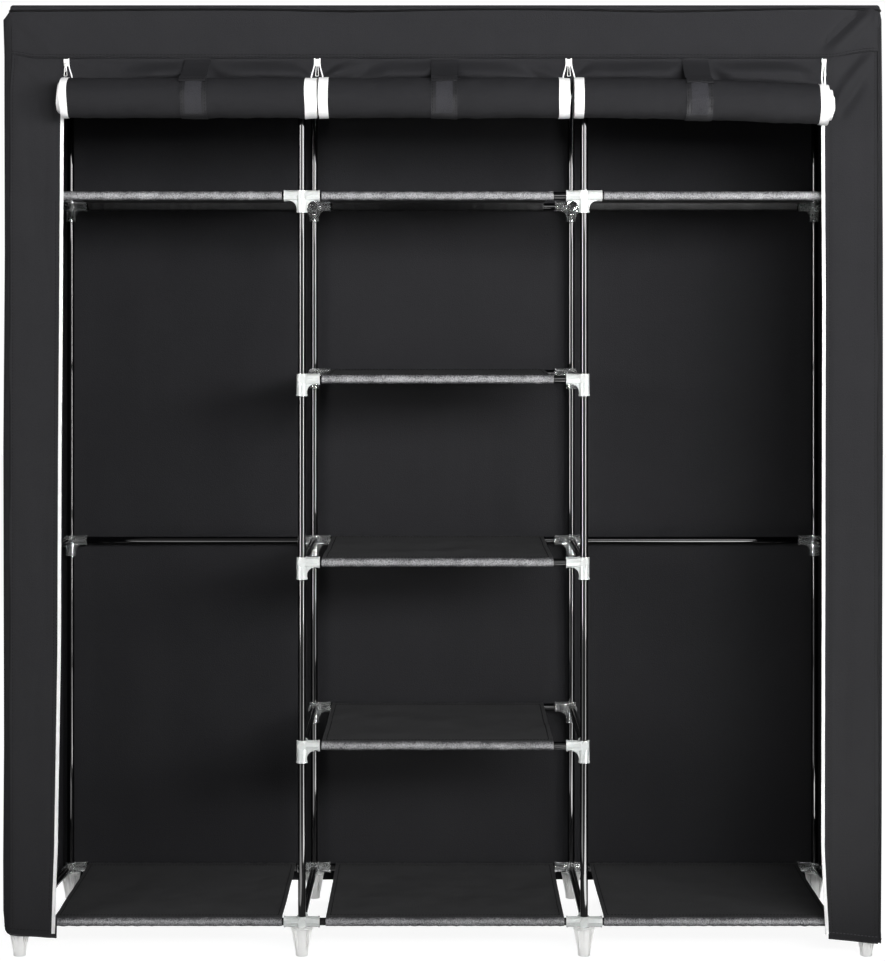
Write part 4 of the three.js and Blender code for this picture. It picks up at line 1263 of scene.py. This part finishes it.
def sliderMesh():
    low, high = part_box("zipper_slider_1")
    pullLow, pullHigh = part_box("zipper_pull_1")
    barY, barZ = middleOf("zipper_pull_1")[1], pullHigh.z - (pullHigh.y - pullLow.y) / 2
    face = high.y - slider["thickness"]
    side, top = high.z - slider["corner"], high.z
    outline = [(slider["lowHalf"], low.z), (slider["half"], side), (slider["topHalf"], top)]
    outline += [(-p, q) for p, q in reversed(outline)]
    bodies = [extruded(outline, Vector((0, high.y, 0)), right, up, slider["thickness"])]
    near, far = slider["lug"]
    for way in (-1, 1):
        start, end = sorted((way * near, way * far))
        below, above = barZ - slider["lugReach"], barZ + slider["lugReach"]
        lug = [(start, below), (end, below), (end, above), (start, above)]
        bodies.append(extruded(lug, Vector((0, face + 0.5 * mm, 0)), right, up, face + 0.5 * mm - low.y))
    barEnd = far - 0.3 * mm
    bodies.append(extruded(circle(slider["bar"], 16), Vector((-barEnd, barY, barZ)), back, up, 2 * barEnd))
    return joinSolids("slider_mesh", bodies, [], zincFinish)


sliderShape = sliderMesh()
for number in columns:
    addObject(f"zip_slider_{number}_cast", sliderShape, "zip_metal", body=f"slider_{number}",
              node=f"zipper_slider_{number}", at=(middleOf(f"zipper_slider_{number}")[0], 0, 0))
    pullPiece(number)
print("zips made")


# Stage, light and camera

stage = {"floor": 30, "reflect": "#8c8c8c", "glow": 0.93, "shade": "#6a6a6a"}


def seesStudio(tree):
    # 1 for the rays that look at the white studio: straight from the camera, mirrored or let through
    rays = addNode(tree, "ShaderNodeLightPath")
    seen = addNode(tree, "ShaderNodeMath", {"operation": "ADD"},
                   {0: rays.outputs["Is Camera Ray"], 1: rays.outputs["Is Glossy Ray"]})
    every = addNode(tree, "ShaderNodeMath", {"operation": "ADD", "use_clamp": True},
                    {0: seen.outputs[0], 1: rays.outputs["Is Transmission Ray"]})
    return every.outputs[0]


def makeFloor():
    half = stage["floor"] / 2
    mesh = bpy.data.meshes.new("floor")
    corners = [(-half, -half, 0), (half, -half, 0), (half, half, 0), (-half, half, 0)]
    mesh.from_pydata(corners, [], [(0, 1, 2, 3)])
    material, tree, _ = startMaterial("white studio floor")
    plain = addNode(tree, "ShaderNodeBsdfDiffuse", {"Color": linear(stage["shade"])})
    dim = addNode(tree, "ShaderNodeBsdfDiffuse", {"Color": linear(stage["reflect"])})
    glow = addNode(tree, "ShaderNodeEmission", {"Strength": stage["glow"]})
    lit = addNode(tree, "ShaderNodeAddShader", {}, {0: dim.outputs[0], 1: glow.outputs[0]})
    mix = addNode(tree, "ShaderNodeMixShader", {},
                  {0: seesStudio(tree), 1: plain.outputs[0], 2: lit.outputs[0]})
    addNode(tree, "ShaderNodeOutputMaterial", {}, {"Surface": mix.outputs[0]})
    mesh.materials.append(material)
    linked("floor", mesh)


def makeWorld():
    world = bpy.data.worlds.new("studio")
    bpy.context.scene.world = world
    world.use_nodes = True
    tree = world.node_tree
    tree.nodes.clear()
    soft = addNode(tree, "ShaderNodeBackground", {"Color": linear("#f2f4f6"), "Strength": lamps["ambient"]})
    white = addNode(tree, "ShaderNodeBackground", {"Color": (1, 1, 1, 1), "Strength": 1})
    mix = addNode(tree, "ShaderNodeMixShader", {},
                  {0: seesStudio(tree), 1: soft.outputs[0], 2: white.outputs[0]})
    addNode(tree, "ShaderNodeOutputWorld", {}, {"Surface": mix.outputs[0]})


# The soft lamps stand at the doors' height and are tilted up: the light comes level, fades towards the floor
# and leaves the bays behind the rolls in the dark.
lamps = {
    "ambient": 0.14,
    "key": {"at": (1.2, -4, 1.85), "aim": (0, 0, 4.5), "size": (2, 1), "power": 200, "spread": 142},
    "boxLeft": {"at": (-2.8, -3.2, 1.8), "aim": (0, -0.1, 4.5), "size": (1.4, 1.4), "power": 44,
                "spread": 142},
    "boxRight": {"at": (2.8, -3.2, 1.8), "aim": (0, -0.1, 4.5), "size": (1.4, 1.4), "power": 78,
                 "spread": 142},
    "above": {"at": (0, 0.3, 4.6), "aim": (0, 0, 0), "size": (3, 2), "power": 5},
    "behind": {"at": (0, 4.2, 2.6), "aim": (0, 0, 0.9), "size": (3, 2), "power": 95},
}
# Bright strips that only gloss picks up, for the two lines along each tube. Those on the floor carry the
# lines on down the tubes.
cards = {
    "cardLeft": {"at": (-3.25, -3.1, 1.2), "aim": (0, -0.1, 1.2), "size": (0.6, 2.4), "power": 800},
    "cardRight": {"at": (3.25, -3.1, 1.2), "aim": (0, -0.1, 1.2), "size": (0.6, 2.4), "power": 800},
    "floorLeft": {"at": (-1.9, -1.95, 0.01), "heading": -46, "size": (0.6, 4.2), "power": 120},
    "floorRight": {"at": (1.9, -1.95, 0.01), "heading": 46, "size": (0.6, 4.2), "power": 430},
}


def makeLamps():
    for name, facts in {**lamps, **cards}.items():
        if name == "ambient":
            continue
        light = bpy.data.lights.new(name, "AREA")
        light.shape = "RECTANGLE"
        light.size, light.size_y = facts["size"]
        light.energy = facts["power"]
        light.spread = math.radians(facts.get("spread", 180))
        lamp = linked(name, light, facts["at"])
        if name in cards:
            lamp.visible_camera = lamp.visible_diffuse = lamp.visible_transmission = False
        if "heading" in facts:
            lamp.rotation_euler = (math.pi, 0, math.radians(facts["heading"]))
        else:
            way = Vector(facts["aim"]) - Vector(facts["at"])
            lamp.rotation_euler = way.to_track_quat("-Z", "Y").to_euler()


# The photo's view: level, from 1.14 m above the floor and 4.25 m in front of the uprights
camera = {"side": -5.3 * mm, "distance": 4.25, "height": 1.139, "width": 887, "tall": 961, "focus": 2389,
          "centre": (440, 315), "sensor": 36}


def makeCamera():
    lens = bpy.data.cameras.new("camera")
    lens.sensor_width = camera["sensor"]
    lens.lens = camera["sensor"] * camera["focus"] / camera["tall"]
    lens.shift_x = (camera["width"] / 2 - camera["centre"][0]) / camera["tall"]
    lens.shift_y = -(camera["tall"] / 2 - camera["centre"][1]) / camera["tall"]
    forward = columnAt("front", 1).y - camera["distance"]
    view = linked("camera", lens, (camera["side"], forward, camera["height"]))
    view.rotation_euler = (math.pi / 2, 0, 0)
    bpy.context.scene.camera = view


makeFloor()
makeWorld()
makeLamps()
makeCamera()
bpy.context.scene.view_settings.view_transform = "Standard"
print("stage, light and camera made")
